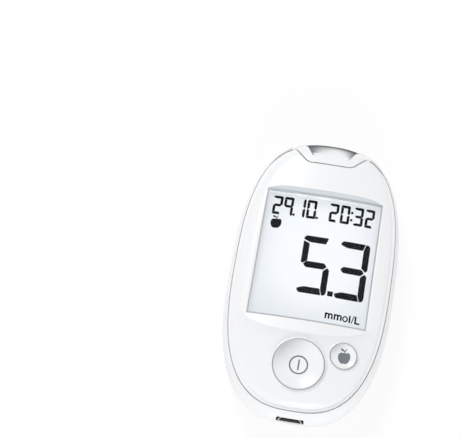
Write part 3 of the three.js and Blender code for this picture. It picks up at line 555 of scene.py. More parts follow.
def seam_half_path():
    peak_x = 12.0
    for _ in range(30):
        peak_y = rim_y(peak_x, seam_inset(peak_x))
        peak_x = insert_half(peak_y)
    wing_x = np.linspace(21.0, peak_x + peak_corner, 40)
    wing = np.column_stack([wing_x, rim_y(wing_x, seam_inset(wing_x))])
    away = wing[0] + np.outer([7.0, 3.0, 1.0], (0.85, 0.53))
    slant = np.array([insert_slope, 1.0]) / slant_length
    peak = np.array([peak_x, peak_y])
    knee = np.array([insert_near_half, insert_near_y])
    peak_bow = bend(wing[-1], peak, peak - slant * peak_corner, np.linspace(0, 1, 16))
    near_start = knee + slant * insert_corner
    near_bow = bend(near_start, knee, knee - np.array([insert_corner, 0.0]), np.linspace(0, 1, 14))
    line = peak_bow[-1] + np.linspace(0, 1, 26)[1:-1, None] * (near_bow[0] - peak_bow[-1])
    return np.vstack([[(30.0, 54.0)], away, wing[:-1], peak_bow, line, near_bow])


def port_path(grow):
    half = seam_half_path()
    middle_x = np.linspace(half[-1][0], -half[-1][0], 34)[1:-1]
    middle = np.column_stack([middle_x, np.full(len(middle_x), insert_near_y)])
    whole = np.vstack([half, middle, half[::-1] * np.array([-1, 1])])
    step = np.diff(whole, axis=0)
    step /= np.linalg.norm(step, axis=1)[:, None]
    along = np.vstack([step[:1], step[:-1] + step[1:], step[-1:]])
    along /= np.linalg.norm(along, axis=1)[:, None]
    return whole + grow * np.column_stack([-along[:, 1], along[:, 0]])


def cut_distance(x, y):
    return (np.abs(x) - insert_half(y)) / slant_length


def cut_points(grow):
    near_y = insert_near_y - grow
    near = insert_near_half + slant_length * grow - grow * insert_slope
    far_y = half_length + 3
    far = near + (far_y - near_y) * insert_slope
    return np.array([(-far, far_y), (-near, near_y), (near, near_y), (far, far_y)])


port_line = port_path(0.0)


def port_distance(x, y):
    best = np.full_like(x, 1e9)
    for (ax, ay), (bx, by) in zip(port_line[:-1], port_line[1:]):
        dx, dy = bx - ax, by - ay
        share = np.clip(((x - ax) * dx + (y - ay) * dy) / (dx * dx + dy * dy), 0, 1)
        best = np.minimum(best, np.hypot(x - ax - share * dx, y - ay - share * dy))
    return np.where(in_polygon(x, y, port_line), -best, best)


print("port path points:", len(port_line))

# %% Height of the front cover
seam_half = 0.15
rim_radius = 0.3
bead_swell = 0.07
fillet_rise = 0.25
fillet_start = 0.45
window_edge_radius = 0.16
key_hole_radius = 0.1
collar_under_key = 0.12
collar_blend = 0.3
collar_wall_slope = 8.0
port_edge_radius = 0.22
wall_by_window = 1.9
cover_overlap = 0.7


def front_top(x, y):
    from_rim = inset_of(x, y) - parting_inset
    swell = bead_swell * np.sin(np.pi * np.clip(from_rim / bead_width, 0, 1))
    bead = bead_rise - rounded_edge(from_rim, rim_radius) + swell
    fillet_share = np.clip((from_rim - fillet_start) / (bead_width - fillet_start), 0, 1)
    fillet = bead_rise + fillet_rise * fillet_share**2
    height = np.where(from_rim < bead_width, np.maximum(bead, fillet), np.maximum(crown(x, y), fillet))
    blend = 0.22 - 0.17 * smooth_step(y, window_y1 - 3.0, window_y1 - 0.5)
    blend = np.where(y < window_y0, 0.1, blend)
    height = np.where(from_rim > 2 * bead_width, soft_min(height, flare(x, y), blend), height)
    height = height - rounded_edge(window_distance(x, y), window_edge_radius)
    for key in (power_key, meal_key):
        distance = np.maximum(key_distance(key, x, y), 0)
        width = key["collar"]
        fall = width - np.sqrt(np.maximum(width**2 - np.minimum(distance, width) ** 2, 0))
        wall_fall = collar_wall_slope * np.maximum(distance - width, 0)
        collar = key_plane(key, x, y) - collar_under_key - fall - wall_fall
        height = soft_max(height, collar, collar_blend) - rounded_edge(distance, key_hole_radius)
    edge = np.maximum(port_distance(x, y) - seam_half, 0)
    return parting_height + height - rounded_edge(edge, port_edge_radius)


def front_under(x, y):
    from_rim = inset_of(x, y) - parting_inset
    inner = parting_height + crown(x, y) - wall
    inner = np.minimum(inner, parting_height + flare(x, y) - wall_by_window)
    lowest = parting_height - cover_overlap
    return np.where(from_rim < wall + 0.2, lowest, np.maximum(inner, lowest))


print("seam:", 2 * seam_half, "mm wide")

# %% Plan of the front cover
bead_steps = (0, 0.03, 0.08, 0.15, 0.24, 0.36, 0.5, 0.65, 0.8, 0.93, 0.995)
shoulder_shares = (
    0.9998, 0.9992, 0.998, 0.996, 0.993, 0.989, 0.983, 0.975, 0.965, 0.953, 0.938, 0.92, 0.9, 0.877,
)
collar_steps = (0, 0.02, 0.05, 0.1, 0.18, 0.28, 0.38, 0.48, 0.58, 0.68, 0.78, 0.9, 1.05, 1.25, 1.6, 2.1)


def bevel_curve(start_y, direction, offset):
    x = np.linspace(-18.7, 18.7, 120)
    near = np.full_like(x, start_y)
    far = near + direction * 6.0
    near, far = bisect(near, far, lambda y: crown(x, y) > flare(x, y), 30)
    return np.column_stack([x, (near + far) / 2 + direction * offset])


def front_loops():
    loops = []
    for offset in (-0.2, -0.07, 0.0, 0.07):
        top_curve = bevel_curve(window_y1 - 2.0, 1, offset)
        loops.append((top_curve[top_curve[:, 1] > window_y1 + 0.55], False))
        loops.append((bevel_curve(window_y0, -1, offset), False))
    for from_rim in bead_steps:
        loops.append((even_oblong(parting_inset + from_rim, 420), True))
    inset = parting_inset + bead_width
    for share in shoulder_shares:
        loops.append((even_oblong(inset, 420, share), True))
    for share, count in ((0.85, 360), (0.82, 320), (0.785, 300), (0.745, 280)):
        loops.append((even_oblong(inset, count, share), True))
    for grow in (0, 0.04, 0.09, 0.16, 0.3, 0.5):
        x0, x1 = window_middle - window_x - grow, window_middle + window_x + grow
        box = (x0, x1, window_y0 - grow, window_y1 + grow)
        loops.append((rounded_box_points(*box, 0.35 + grow, 0.45), True))
    for key, count in ((power_key, 160), (meal_key, 112)):
        for grow in collar_steps:
            radius = key["radius"] + key_gap + grow
            loops.append((circle_points(key["x"], key["y"], radius, count), True))
    for grow in (0, 0.03, 0.07, 0.13, 0.22, 0.4):
        loops.append((port_path(seam_half + grow), False))
    return loops


def front_keep(x, y):
    keep = oblong_norm(x, y, half_width - parting_inset, half_length - parting_inset) < 1
    keep &= window_distance(x, y) > 1e-4
    for key in (power_key, meal_key):
        keep &= key_distance(key, x, y) > -1e-3
    return keep & (port_distance(x, y) > seam_half - 1e-3)


loose = grid_points(-24, 24, -46, 46, 0.8)
loose = loose[oblong_norm(loose[:, 0], loose[:, 1], crown_half_width, crown_half_length) < 0.93]
flare_rows = np.vstack([grid_points(-19, 19, 26.9, 28.6, 0.42), grid_points(-19, 19, -23.4, -18.3, 0.5)])
loose = np.vstack([loose, flare_rows])
loose = loose[window_distance(loose[:, 0], loose[:, 1]) > 0.6]
for key in (power_key, meal_key):
    loose = loose[key_distance(key, loose[:, 0], loose[:, 1]) > 2.2]
plan, triangles = fill_plan(front_loops(), loose, front_keep)
top = front_top(plan[:, 0], plan[:, 1])
under = front_under(plan[:, 0], plan[:, 1])
front_cover = plan_solid("front_cover_skin", plan, triangles, top, under)
print("front cover faces:", len(front_cover.data.polygons))

# %% [markdown]
# Four shades lie on the cover: on the bevel over the window, in a fine line round the window, on
# the ramp under it, and on the lower right of each key's collar.

# %% Shades of the front cover
px, py, pz = points_of(front_cover.data).T
under_crown = crown(px, py) - flare(px, py)
over_window = smooth_step(py, window_y1 - 0.1, window_y1 + 0.02)
bevel_shade = 0.82 * smooth_step(under_crown, -0.005, 0.035) * over_window
rim_shade = 0.25 * np.exp(-((window_distance(px, py) / 0.22) ** 2))
over_ramp = np.where(py < window_y0, flare(px, py) - crown(px, py), -1.0)
face_shade = 0.3 * smooth_step(over_ramp, -0.01, 0.03) * np.exp(-np.maximum(over_ramp, 0) / 0.9)
collar_shade = np.zeros_like(px)
for key in (power_key, meal_key):
    off_edge = key_distance(key, px, py)
    from_middle = off_edge + key["radius"] + key_gap
    lower_right = (0.64 * (px - key["x"]) - 0.77 * (py - key["y"])) / from_middle
    on_collar = smooth_step(off_edge, 0.95 * key["collar"], 0.75 * key["collar"])
    crescent = on_collar * smooth_step(lower_right, 0.1, 0.9)
    edge_line = smooth_step(off_edge, 0.16, 0.06)
    collar_shade = np.maximum(collar_shade, np.maximum(0.75 * crescent, 0.6 * edge_line))
shades = np.maximum.reduce([bevel_shade, rim_shade, face_shade, collar_shade])
store_shade(front_cover, "cover_shade", shades * (pz > parting_height + 1.5))
bevel_grey = (0.6, 0.645, 0.68)
cover_finish = shaded_finish("front_cover_plastic", cover_white, bevel_grey, "cover_shade")
wear(front_cover, cover_finish)
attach(front_cover, "housing")
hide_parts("front_cover")
print("points in shade:", int((shades > 0.1).sum()))

# %% [markdown]
# ## Lofts and cutters
# Bowls, sockets and turned parts are lofts: rings of points joined into a skin. Straight openings
# are cut with booleans, whose cutters flare at the skin to leave a chamfer. A subdivision surface
# would need its edges held by loops, and these parts have too many of them.

# %% Lofts
def loft(name, rings, smooth_angle=38.0):
    count = len(rings[0])
    vertices = np.vstack(rings)
    faces = []
    for level in range(len(rings) - 1):
        for i in range(count):
            j = (i + 1) % count
            a = level * count
            faces.append((a + i, a + j, a + count + j, a + count + i))
    faces.append(tuple(range(count))[::-1])
    last = (len(rings) - 1) * count
    faces.append(tuple(last + i for i in range(count)))
    return new_mesh_object(name, vertices, faces, smooth_angle)


def flat_ring(points, z):
    return np.column_stack([points, np.full(len(points), z)])


def upright_ring(points, y):
    return np.column_stack([points[:, 0], np.full(len(points), y), points[:, 1]])


def swollen(points, by):
    centre = points.mean(axis=0)
    spread = points - centre
    return centre + spread * (1 + by / np.abs(spread).max(axis=0))


print("loft tools ready")

# %% Booleans
def drop(obj):
    mesh = obj.data
    bpy.data.objects.remove(obj)
    bpy.data.meshes.remove(mesh)


def combine(target, tools, operation):
    for tool in tools:
        modifier = target.modifiers.new(operation.lower(), "BOOLEAN")
        modifier.operation = operation
        modifier.solver = "EXACT"
        modifier.object = tool
    depsgraph = bpy.context.evaluated_depsgraph_get()
    mesh = bpy.data.meshes.new_from_object(target.evaluated_get(depsgraph))
    target.modifiers.clear()
    old = target.data
    target.data = mesh
    bpy.data.meshes.remove(old)
    for tool in tools:
        drop(tool)
    mesh.polygons.foreach_set("use_smooth", [True] * len(mesh.polygons))
    mesh.set_sharp_from_angle(angle=math.radians(38))


print("boolean tools ready")

# %% [markdown]
# ## The strip port
# The strip port is a piece of its own, let into the end of the housing. A scoop in it guides the
# strip down to a slot under its lip. Three heights make it: the skin of the housing, a ramp that
# drops to the lip and flattens there, and two side walls that turn up steeply. The lowest of them
# wins. A boolean with a cutter would do the same, but its edges could not be rounded so evenly.
# The lip is worked out as a curve and put into the plan, so it stays a clean edge from behind.

# %% Height of the strip port
scoop_near_y = 41.05
scoop_near_half = 6.3
scoop_widening = 0.54
scoop_end_y = 48.7
scoop_lip = 11.5
scoop_wall_width = 0.9
scoop_slant = math.hypot(1, scoop_widening)
port_wall = 1.4
port_foot = 9.0


def port_skin(x, y):
    inset = inset_of(x, y)
    share = np.clip(1 - inset / parting_inset, 0, 1)
    side = belly_height + (parting_height - belly_height) * np.sqrt(1 - share**2)
    rim = bead_rise - 2.2 * np.maximum(0, parting_inset + bead_width - inset)
    top = parting_height + np.where(inset < parting_inset + bead_width, rim, crown(x, y))
    ridge = parting_height - 0.18 + 0.63 * smooth_step(inset, 1.35, 2.0)
    ridge = np.where(np.abs(x) > 9.5, ridge - 2.0 * (1 - smooth_step(np.abs(x), 9.5, 12.0)), 0.0)
    return np.maximum(soft_max(side, top, 0.9), np.where(inset > 1.35, ridge, 0.0))


def scoop_side(x, y):
    half = scoop_near_half + (y - scoop_near_y) * scoop_widening
    return (half - np.abs(x)) / scoop_slant


def scoop_reach(y):
    return np.clip((y - scoop_near_y) / (scoop_end_y - scoop_near_y), 0, 1)


def scoop_ramp(x, y):
    start = port_skin(x, np.full_like(x, scoop_near_y))
    lip = scoop_lip - 0.45 * (x / 8.5) ** 2
    sunk = 1 - (1 - scoop_reach(y) ** 1.35) ** 2.2
    return start - sunk * (start - lip) + 1.3 * np.maximum(scoop_near_y - y, 0)


def port_top(x, y):
    skin = port_skin(x, y)
    blend = 0.1 + 0.5 * np.exp(-(((y - scoop_near_y) / 1.0) ** 2))
    depth = skin - soft_min(skin, scoop_ramp(x, y), blend)
    wall_share = np.clip(scoop_side(x, y) / scoop_wall_width, 0, 1)
    height = skin - depth * np.sqrt(1 - (1 - wall_share) ** 2)
    edge = np.maximum(-port_distance(x, y) - seam_half, 0)
    return height - rounded_edge(edge, port_edge_radius)


def port_under(x, y):
    floor = np.minimum(port_skin(x, y), scoop_ramp(x, y + 1.1)) - port_wall
    deep = port_foot + np.maximum(floor - port_foot, 0) * smooth_step(inset_of(x, y), 1.9, 2.1)
    return np.where(cut_distance(x, y) < 0.14, deep, parting_height - 0.15)


print("scoop: from", scoop_near_y, "to", scoop_end_y, "mm, lip at", scoop_lip)

# %% Plan of the strip port
rim_heights = (
    9.0, 9.5, 10.1, 10.7, 11.3, 11.8, 12.3, 12.8, 13.2, 13.6, 13.95, 14.2, 14.4, 14.52, 14.6,
)
wall_steps = (-0.25, -0.08, -0.02, 0.0, 0.006, 0.02, 0.05, 0.1, 0.18, 0.3, 0.46, 0.66, 0.9, 1.3)
wall_foot = 10.5


def slanted_line(side_offset, count=60):
    y = np.linspace(scoop_near_y - 0.3, 49.3, count)
    x = scoop_near_half + (y - scoop_near_y) * scoop_widening - side_offset * scoop_slant
    line = np.column_stack([x, y])
    return line[port_skin(x, y) > wall_foot]


def lip_curve(offset, count=150):
    x = np.linspace(-10.3, 10.3, count)
    near = np.full_like(x, 44.5)
    far = rim_y(np.abs(x), np.full_like(x, 0.01))
    near, far = bisect(near, far, lambda y: port_skin(x, y) > scoop_ramp(x, y))
    return np.column_stack([x, near + offset])


def wing_inset(x):
    return 1.35 + 0.4 * smooth_step(x, 14.0, 18.5)


def port_loops():
    loops = []
    for height in rim_heights:
        share = (height - belly_height) / (parting_height - belly_height)
        loops.append((even_oblong(parting_inset * (1 - math.sqrt(1 - share**2)), 420), True))
    for grow in (0.12, 0.3, 0.5, 0.7, 0.85, 1.0):
        loops.append((even_oblong(parting_inset + grow, 420), True))
    inset = parting_inset + bead_width
    for share in (0.9985, 0.996, 0.992, 0.986, 0.978, 0.968, 0.955):
        loops.append((even_oblong(inset, 420, share), True))
    for grow in (0, 0.03, 0.07, 0.13, 0.22, 0.36):
        loops.append((port_path(-seam_half - grow), False))
    wing_x = np.linspace(11.5, 18.5, 40)
    wing_edge = np.column_stack([wing_x, rim_y(wing_x, wing_inset(wing_x))])
    cut_y = np.linspace(42.5, 47.5, 30)
    for side in (-1, 1):
        loops.append((wing_edge * np.array([side, 1]), False))
        for grow in (0.13, 0.17):
            cut_x = insert_half(cut_y) + grow * slant_length
            loops.append((np.column_stack([side * cut_x, cut_y]), False))
    for offset in (-0.3, -0.13, -0.05, 0.0, 0.012, 0.03):
        loops.append((lip_curve(offset), False))
    for offset in wall_steps:
        line = slanted_line(offset)
        loops.append((line, False))
        loops.append((line * np.array([-1, 1]), False))
    return loops


def port_keep(x, y):
    inside = oblong_norm(x, y, half_width - 0.0004, half_length - 0.0004) < 1
    inside &= port_distance(x, y) < -seam_half + 1e-3
    in_wing = (inset_of(x, y) > wing_inset(np.abs(x))) & (np.abs(x) < 18.5)
    return inside & ((cut_distance(x, y) < 0.131) | in_wing)


port_loose = grid_points(-14, 14, 38.4, 48.8, 0.26)
plan, triangles = fill_plan(port_loops(), port_loose, port_keep)
top = port_top(plan[:, 0], plan[:, 1])
under = np.minimum(port_under(plan[:, 0], plan[:, 1]), top - 0.02)
strip_port = plan_solid("strip_port_skin", plan, triangles, top, under)
print("strip port faces:", len(strip_port.data.polygons))

# %% The slot for the strip
slot_outline = rounded_box_points(-4.2, 4.2, 9.6, 10.9, 0.3, 50)
slot_rows = ((0.75, 49.6), (0.0, 48.3), (0.0, 44.0))
slot_rings = [upright_ring(swollen(slot_outline, grow), y) for grow, y in slot_rows]
combine(strip_port, [loft("slot_cut", slot_rings)], "DIFFERENCE")
print("strip port faces with its slot:", len(strip_port.data.polygons))

# %% [markdown]
# The floor of the scoop carries painted shade: clear white where it leaves the face, and a dark grey
# at the side walls and along the lip, where shade falls. The seam's edge gets a little painted shade as
# well, where a narrow gap shades it. The shade comes from the distances to the walls, the lip and the seam.

# %% The scoop's painted shade
def painted_scoop_shade(x, y, z):
    depth = port_skin(x, y) - z
    side = scoop_side(x, y)
    reach = scoop_reach(y)
    in_scoop = smooth_step(depth, 0.0, 0.12) * smooth_step(side, 0.0, 0.03)
    across = np.clip(np.abs(x) / 9.0, 0, 1)
    to_lip = np.maximum(inset_of(x, y) - 0.3, 0)
    lip = (0.6 + 0.3 * across**2) * np.exp(-((to_lip / 0.5) ** 2))
    lip = lip + 0.42 * np.exp(-((to_lip / 1.5) ** 2))
    spread = np.maximum(np.where(x < 0, 6.6 * reach - 0.6, 4.6 * reach - 0.6), 0.55)
    amount = np.where(x < 0, 0.92 + 0.07 * reach, 0.6 + 0.38 * reach)
    from_wall = np.maximum(side - 0.9 * smooth_step(reach, 0.05, 0.4), 0)
    walls = np.clip(amount, 0, 1) * np.exp(-((from_wall / spread) ** 2))
    seam = 0.3 * smooth_step(-port_distance(x, y), 0.36, 0.2) * (z > parting_height - 0.6)
    return np.maximum(in_scoop * (1 - (1 - np.clip(lip, 0, 1)) * (1 - walls)), seam)


places = points_of(strip_port.data)
# Painted shade: the scoop's walls, its lip and the seam's edge are darkened in the colour.
store_shade(strip_port, "scoop_shade", painted_scoop_shade(*places.T))
scoop_painted_shade_grey = (0.06, 0.065, 0.072)
port_finish = shaded_finish("strip_port_plastic", cover_white, scoop_painted_shade_grey, "scoop_shade")
wear(strip_port, port_finish)
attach(strip_port, "housing")
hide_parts("strip_port_insert")
print("deepest tint:", round(float(painted_scoop_shade(*places.T).max()), 2))

# %% [markdown]
# ## The rear cover
# The rear cover is a bowl under the parting line, with straight openings: the socket, the port, the
# battery bay, the screws and a finger dimple. A bowl is best lofted through level outlines, and
# straight openings are cut from it. At the parting line it ends in a thin lip with a groove behind
# it, and painted shade lies in the groove, so that the line reads all round the meter.

# %% Rows of the bowl
def level(inset, height):
    return flat_ring(even_oblong(inset, 300), height)


def rear_side_rows():
    rows = []
    for angle in np.radians(np.linspace(90, 0, 26)):
        depth_share = math.sin(angle) ** (2 / underside_power)
        inset = back_inset
        if angle < 1.5707:
            inset = back_inset * (1 - math.cos(angle) ** (2 / underside_power))
        rows.append((inset, belly_height * (1 - depth_share)))
    for angle in np.radians(np.linspace(4, 60, 15)):
        inset = parting_inset * (1 - math.cos(angle))
        rows.append((inset, belly_height + (parting_height - belly_height) * math.sin(angle)))
    return rows


lip_rows = [(1.06, 14.15), (1.2, 14.39), (1.31, 14.57), (1.38, 14.66), (1.45, 14.69), (1.51, 14.66)]
lip_rows += [(1.555, 14.58), (1.57, 14.5), (1.58, 14.34), (1.61, 14.3), (1.74, 14.29), (1.75, 14.2)]
lip_rows += [(1.75, 13.72), (3.4, 13.7)]
inner_rows = [(3.4, 13.0), (3.38, 9.0), (3.6, 5.0), (4.2, 2.6), (5.4, 1.6)]
rear_rows = rear_side_rows() + lip_rows + inner_rows
rear_cover = loft("rear_cover_skin", [level(inset, height) for inset, height in rear_rows])
print("rear cover rows:", len(rear_rows))

# %% Cutters
bay_half_width = 21.15
bay_half_length = 13.0
bay_roof_under = 6.0
bay_roof_top = 6.8


def prism(name, plan_points, low, high, chamfer=0.0, chamfer_at=None):
    plan_points = np.asarray(plan_points)
    rings = [flat_ring(plan_points, low)]
    if chamfer:
        rings = [
            flat_ring(swollen(plan_points, 4 * chamfer), chamfer_at - 3 * chamfer),
            flat_ring(swollen(plan_points, chamfer), chamfer_at),
            flat_ring(plan_points, chamfer_at + chamfer),
        ]
    rings.append(flat_ring(plan_points, high))
    return loft(name, rings)


def block_points(x0, x1, y0, y1, radius=0.4):
    return rounded_box_points(x0, x1, y0, y1, radius, 50.0)


print("battery bay:", 2 * bay_half_width, "x", 2 * bay_half_length, "mm")

# %% Bay, screws, latch and dimple
bay_block = prism("bay_block", block_points(-22.15, 22.15, -14, 14, 0.8), 0.9, bay_roof_top)
screw_places = [(-14.5, -36.0), (14.5, -36.0), (-14.0, 35.4), (14.0, 35.4)]
bosses = []
for i, (x, y) in enumerate(screw_places):
    bosses.append(prism(f"boss_{i}", circle_points(x, y, 2.9, 40), 0.9, bay_roof_top))
combine(rear_cover, [bay_block] + bosses, "UNION")
bay_points = block_points(-bay_half_width, bay_half_width, -bay_half_length, bay_half_length, 0.7)
cutters = [prism("bay_cut", bay_points, 0, bay_roof_under, 0.18, 0.0)]
latch_points = block_points(-4.8, 4.8, -14.8, -12.0, 0.5)
cutters.append(prism("latch_cut", latch_points, 0, 1.1, 0.15, 0.0))
for i, (x, y) in enumerate(screw_places):
    cutters.append(prism(f"head_cut_{i}", circle_points(x, y, 2.2, 48), 0, 3.0, 0.2, 0.0))
    cutters.append(prism(f"shank_cut_{i}", circle_points(x, y, 1.25, 32), 2.5, 9.0))
for side in (-1, 1):
    hook_points = block_points(side * 13 - 2.8, side * 13 + 2.8, 12.5, 15.3, 0.2)
    cutters.append(prism(f"hook_cut_{side + 1}", hook_points, 1.6, 4.0))
dimple_rows = [(5.6, -0.5), (5.25, -0.02), (4.95, 0.06), (4.5, 0.2), (3.9, 0.36)]
dimple_rows += [(3.0, 0.53), (1.8, 0.66), (0.6, 0.7)]
dimple_rings = [flat_ring(circle_points(0, -19.5, radius, 72), z) for radius, z in dimple_rows]
cutters.append(loft("dimple_cut", dimple_rings))
combine(rear_cover, cutters, "DIFFERENCE")
print("rear cover faces:", len(rear_cover.data.polygons))

# %% Openings for the port and the socket
socket_middle = 9.45
socket_half_width = 4.35
socket_half_height = 2.1
socket_low = socket_middle - socket_half_height
socket_high = socket_middle + socket_half_height
socket_box = (-socket_half_width, socket_half_width, socket_low, socket_high)
socket_outline = rounded_box_points(*socket_box, 0.75, 50)
socket_rows = ((0.5, -49.6), (0.08, -48.9), (0.0, -48.75), (0.0, -44.5))
socket_rings = [upright_ring(swollen(socket_outline, grow), y) for grow, y in socket_rows]
socket_cut = loft("socket_cut", [ring[::-1] for ring in socket_rings])
port_cut = prism("port_cut", cut_points(seam_half), 8.7, 20.0)
combine(rear_cover, [socket_cut, port_cut], "DIFFERENCE")
places = points_of(rear_cover.data)
inset = inset_of(places[:, 0], places[:, 1])
# Painted shade: the chamfer of the groove behind the lip is darkened in the colour.
in_groove = smooth_step(inset, 1.47, 1.54) * (inset < 1.6) * (places[:, 2] > 13.9)
store_shade(rear_cover, "groove_shade", 0.7 * in_groove)
groove_painted_shade_grey = (0.25, 0.265, 0.28)
rear_finish = shaded_finish("rear_cover_plastic", rear_white, groove_painted_shade_grey, "groove_shade", 0.4, 0.12)
wear(rear_cover, rear_finish)
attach(rear_cover, "housing")
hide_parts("rear_cover")
print("rear cover faces:", len(rear_cover.data.polygons))

# %% [markdown]
# ## The keys
# Each key is a dished cap whose rim follows the slope of the cover. The dish is a bowl under a
# leaning plane, with a rounded rim and a straight side that slides in the hole. Two shades are
# stored on its points: on the wall turned away from the lamp, and in a fine line inside the rim.

# %% Key caps
key_edge_radius = 0.2
dish_margin = 0.25
dish_power = 2.3


def key_height(key, x, y):
    dx, dy = x - key["x"], y - key["y"]
    radius = np.hypot(dx, dy)
    dish_edge = key["radius"] - dish_margin
    share = np.clip(radius / dish_edge, 0, 1)
    bowl = -key["dish"] * (1 - share**dish_power)
    softened = soft_min(bowl, np.zeros_like(bowl), 0.06)
    edge = rounded_edge(np.maximum(key["radius"] - radius, 0), key_edge_radius)
    return parting_height + key_plane(key, x, y) + softened - edge


key_white = shaded_finish("key_plastic", cover_white, (0.44, 0.465, 0.49), "dish_shade")


def key_piece(name, key, node, body):
    loops = []
    radius = key["radius"]
    for back_from_edge in (0, 0.015, 0.045, 0.09, 0.15, 0.22, 0.3, 0.38, 0.46, 0.55, 0.66, 0.8):
        loops.append((circle_points(key["x"], key["y"], radius - back_from_edge, 144), True))
    for share in np.linspace(0.88, 0.08, 18):
        count = max(16, int(144 * min(1, share * 1.2)))
        loops.append((circle_points(key["x"], key["y"], radius * share, count), True))

    def keep(x, y):
        return np.hypot(x - key["x"], y - key["y"]) < radius

    plan, triangles = fill_plan(loops, [(key["x"], key["y"])], keep)
    top = key_height(key, plan[:, 0], plan[:, 1])
    cap = plan_solid(name, plan, triangles, top, np.full(len(plan), parting_height + 0.6))
    px, py, _ = points_of(cap.data).T
    reach = np.hypot(px - key["x"], py - key["y"]) / radius
    turned_away = np.maximum(0.7 * (py - key["y"]) - 0.7 * (px - key["x"]), 0) / radius
    dish = 0.95 * turned_away**2.2 * smooth_step(reach, 1.0, 0.95)
    rim = 0.62 * smooth_step(reach * radius, radius - 0.38, radius - 0.22)
    store_shade(cap, "dish_shade", np.maximum(dish, rim))
    wear(cap, key_white)
    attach(cap, body)
    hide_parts(node)
    return cap


power_cap = key_piece("power_key_cap", power_key, "power_button", "power_key")
meal_cap = key_piece("meal_key_cap", meal_key, "meal_button", "meal_key")
print("key caps:", len(power_cap.data.polygons), len(meal_cap.data.polygons), "faces")

# %% [markdown]
# ## The window
# The window is a clear sheet, curved across the width and polished at its edges. Its index of
# refraction is low, as a stand-in for an anti-glare coating, so the display looks only a little
# raised and mirrors little of the room. A narrow grey print runs round it. Light has to reach the
# display without noise, so shadow rays pass straight through the sheet.

# %% The lens
clear_sheet, sheet_tree, sheet_shader = new_finish("clear_window")
set_socket(sheet_shader, "Base Color", (0.985, 0.992, 1.0, 1))
set_socket(sheet_shader, "Transmission Weight", 1.0)
set_socket(sheet_shader, "IOR", 1.15)
sheet_place = add_node(sheet_tree, "TexCoord")
sheet_cloud = add_node(sheet_tree, "TexNoise", Scale=60.0)
join(sheet_tree, sheet_place, "Object", sheet_cloud, "Vector")
sheet_gloss = add_node(sheet_tree, "MapRange", To_Min=0.0, To_Max=0.03)
join(sheet_tree, sheet_cloud, "Fac", sheet_gloss, "Value")
join(sheet_tree, sheet_gloss, "Result", sheet_shader, "Roughness")
ray_kind = add_node(sheet_tree, "LightPath")
see_through = add_node(sheet_tree, "BsdfTransparent", Color=(0.94, 0.945, 0.95, 1))
sheet_mix = add_node(sheet_tree, "MixShader")
join(sheet_tree, ray_kind, "Is Shadow Ray", sheet_mix, "Fac")
join(sheet_tree, sheet_shader, "BSDF", sheet_mix, 1)
join(sheet_tree, see_through, "BSDF", sheet_mix, 2)
join(sheet_tree, sheet_mix, "Shader", sheet_tree.nodes["Material Output"], "Surface")
print("clear sheet:", len(sheet_tree.nodes), "nodes")

# %% The lens and the print round it
lens_gap = 0.1
lens_x0, lens_x1 = window_middle - window_x + lens_gap, window_middle + window_x - lens_gap
lens_box = (lens_x0, lens_x1, window_y0 + lens_gap, window_y1 - lens_gap)
lens_thickness = 1.2


def lens_distance(x, y):
    dx = window_x - lens_gap - np.abs(x - window_middle)
    dy = np.minimum(window_y1 - lens_gap - y, y - window_y0 - lens_gap)
    return np.minimum(dx, dy)


def lens_loops():
    loops = []
    for shrink in (0, 0.02, 0.06, 0.12, 0.2, 0.34, 0.5):
        x0, x1, y0, y1 = lens_box
        box = (x0 + shrink, x1 - shrink, y0 + shrink, y1 - shrink)
        loops.append((rounded_box_points(*box, 0.35, 1.2), True))
    return loops


def lens_keep(x, y):
    return in_polygon(x, y, lens_loops()[0][0])


lens_loose = np.array([(x, y) for x in np.linspace(-18, 18, 73) for y in np.linspace(-17.5, 25.5, 24)])
plan, triangles = fill_plan(lens_loops(), lens_loose, lens_keep)
lens_face = parting_height + lens_rise(plan[:, 0])
polish = rounded_edge(np.maximum(lens_distance(plan[:, 0], plan[:, 1]), 0), 0.14)
lens = plan_solid("display_window", plan, triangles, lens_face - polish, lens_face - lens_thickness)
border_width = 0.36
far_border_width = 0.2
border_print = mould_finish("window_border_print", (0.56, 0.59, 0.62), 0.5, grain=0.05)


def in_border(x, y):
    from_far = window_y1 - lens_gap - y
    at_far = from_far < far_border_width
    return (lens_distance(x, y) < border_width) & ((from_far > border_width) | at_far)


paint_faces(lens, clear_sheet, border_print, in_border)
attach(lens, "housing")
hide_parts("display_lens")
print("lens thickness:", lens_thickness, "mm")

# %% [markdown]
# ## The display
# Under the window lies the liquid crystal display, lit evenly from behind and a little brighter in
# the middle. Its face is a matt film, so it is a piece with a soft gradient. The numbers are dark
# segments, made as thin plates with mitred ends and small gaps, as an etched display has them.

# %% The display's face
display_top = 15.6
face_box = (-18.9, 19.25, -18.4, 26.5)


def plate(name, x0, x1, y0, y1, low, high, radius, finish, spacing=50.0):
    outline = rounded_box_points(x0, x1, y0, y1, radius, spacing)
    obj = prism(name, outline, low, high)
    wear(obj, finish)
    return obj


glow = mould_finish("display_face", (0.14, 0.142, 0.145), 0.6, grain=0.02, variation=0.01)
glow_tree = glow.node_tree
glow_shader = glow_tree.nodes["Principled BSDF"]
glow_place = add_node(glow_tree, "TexCoord")
glow_map = add_node(glow_tree, "Mapping", Location=(0.0, -0.19, 0.0), Scale=(44.0, 37.0, 0.0))
join(glow_tree, glow_place, "Object", glow_map, "Vector")
glow_ball = add_node(glow_tree, "TexGradient")
glow_ball.gradient_type = "SPHERICAL"
join(glow_tree, glow_map, "Vector", glow_ball, "Vector")
glow_ramp = add_node(glow_tree, "ValToRGB")
glow_ramp.color_ramp.interpolation = "EASE"
glow_ramp.color_ramp.elements[0].color = (0.76, 0.795, 0.83, 1)
glow_ramp.color_ramp.elements[1].color = (0.9, 0.92, 0.945, 1)
glow_ramp.color_ramp.elements[1].position = 0.6
join(glow_tree, glow_ball, "Fac", glow_ramp, "Fac")
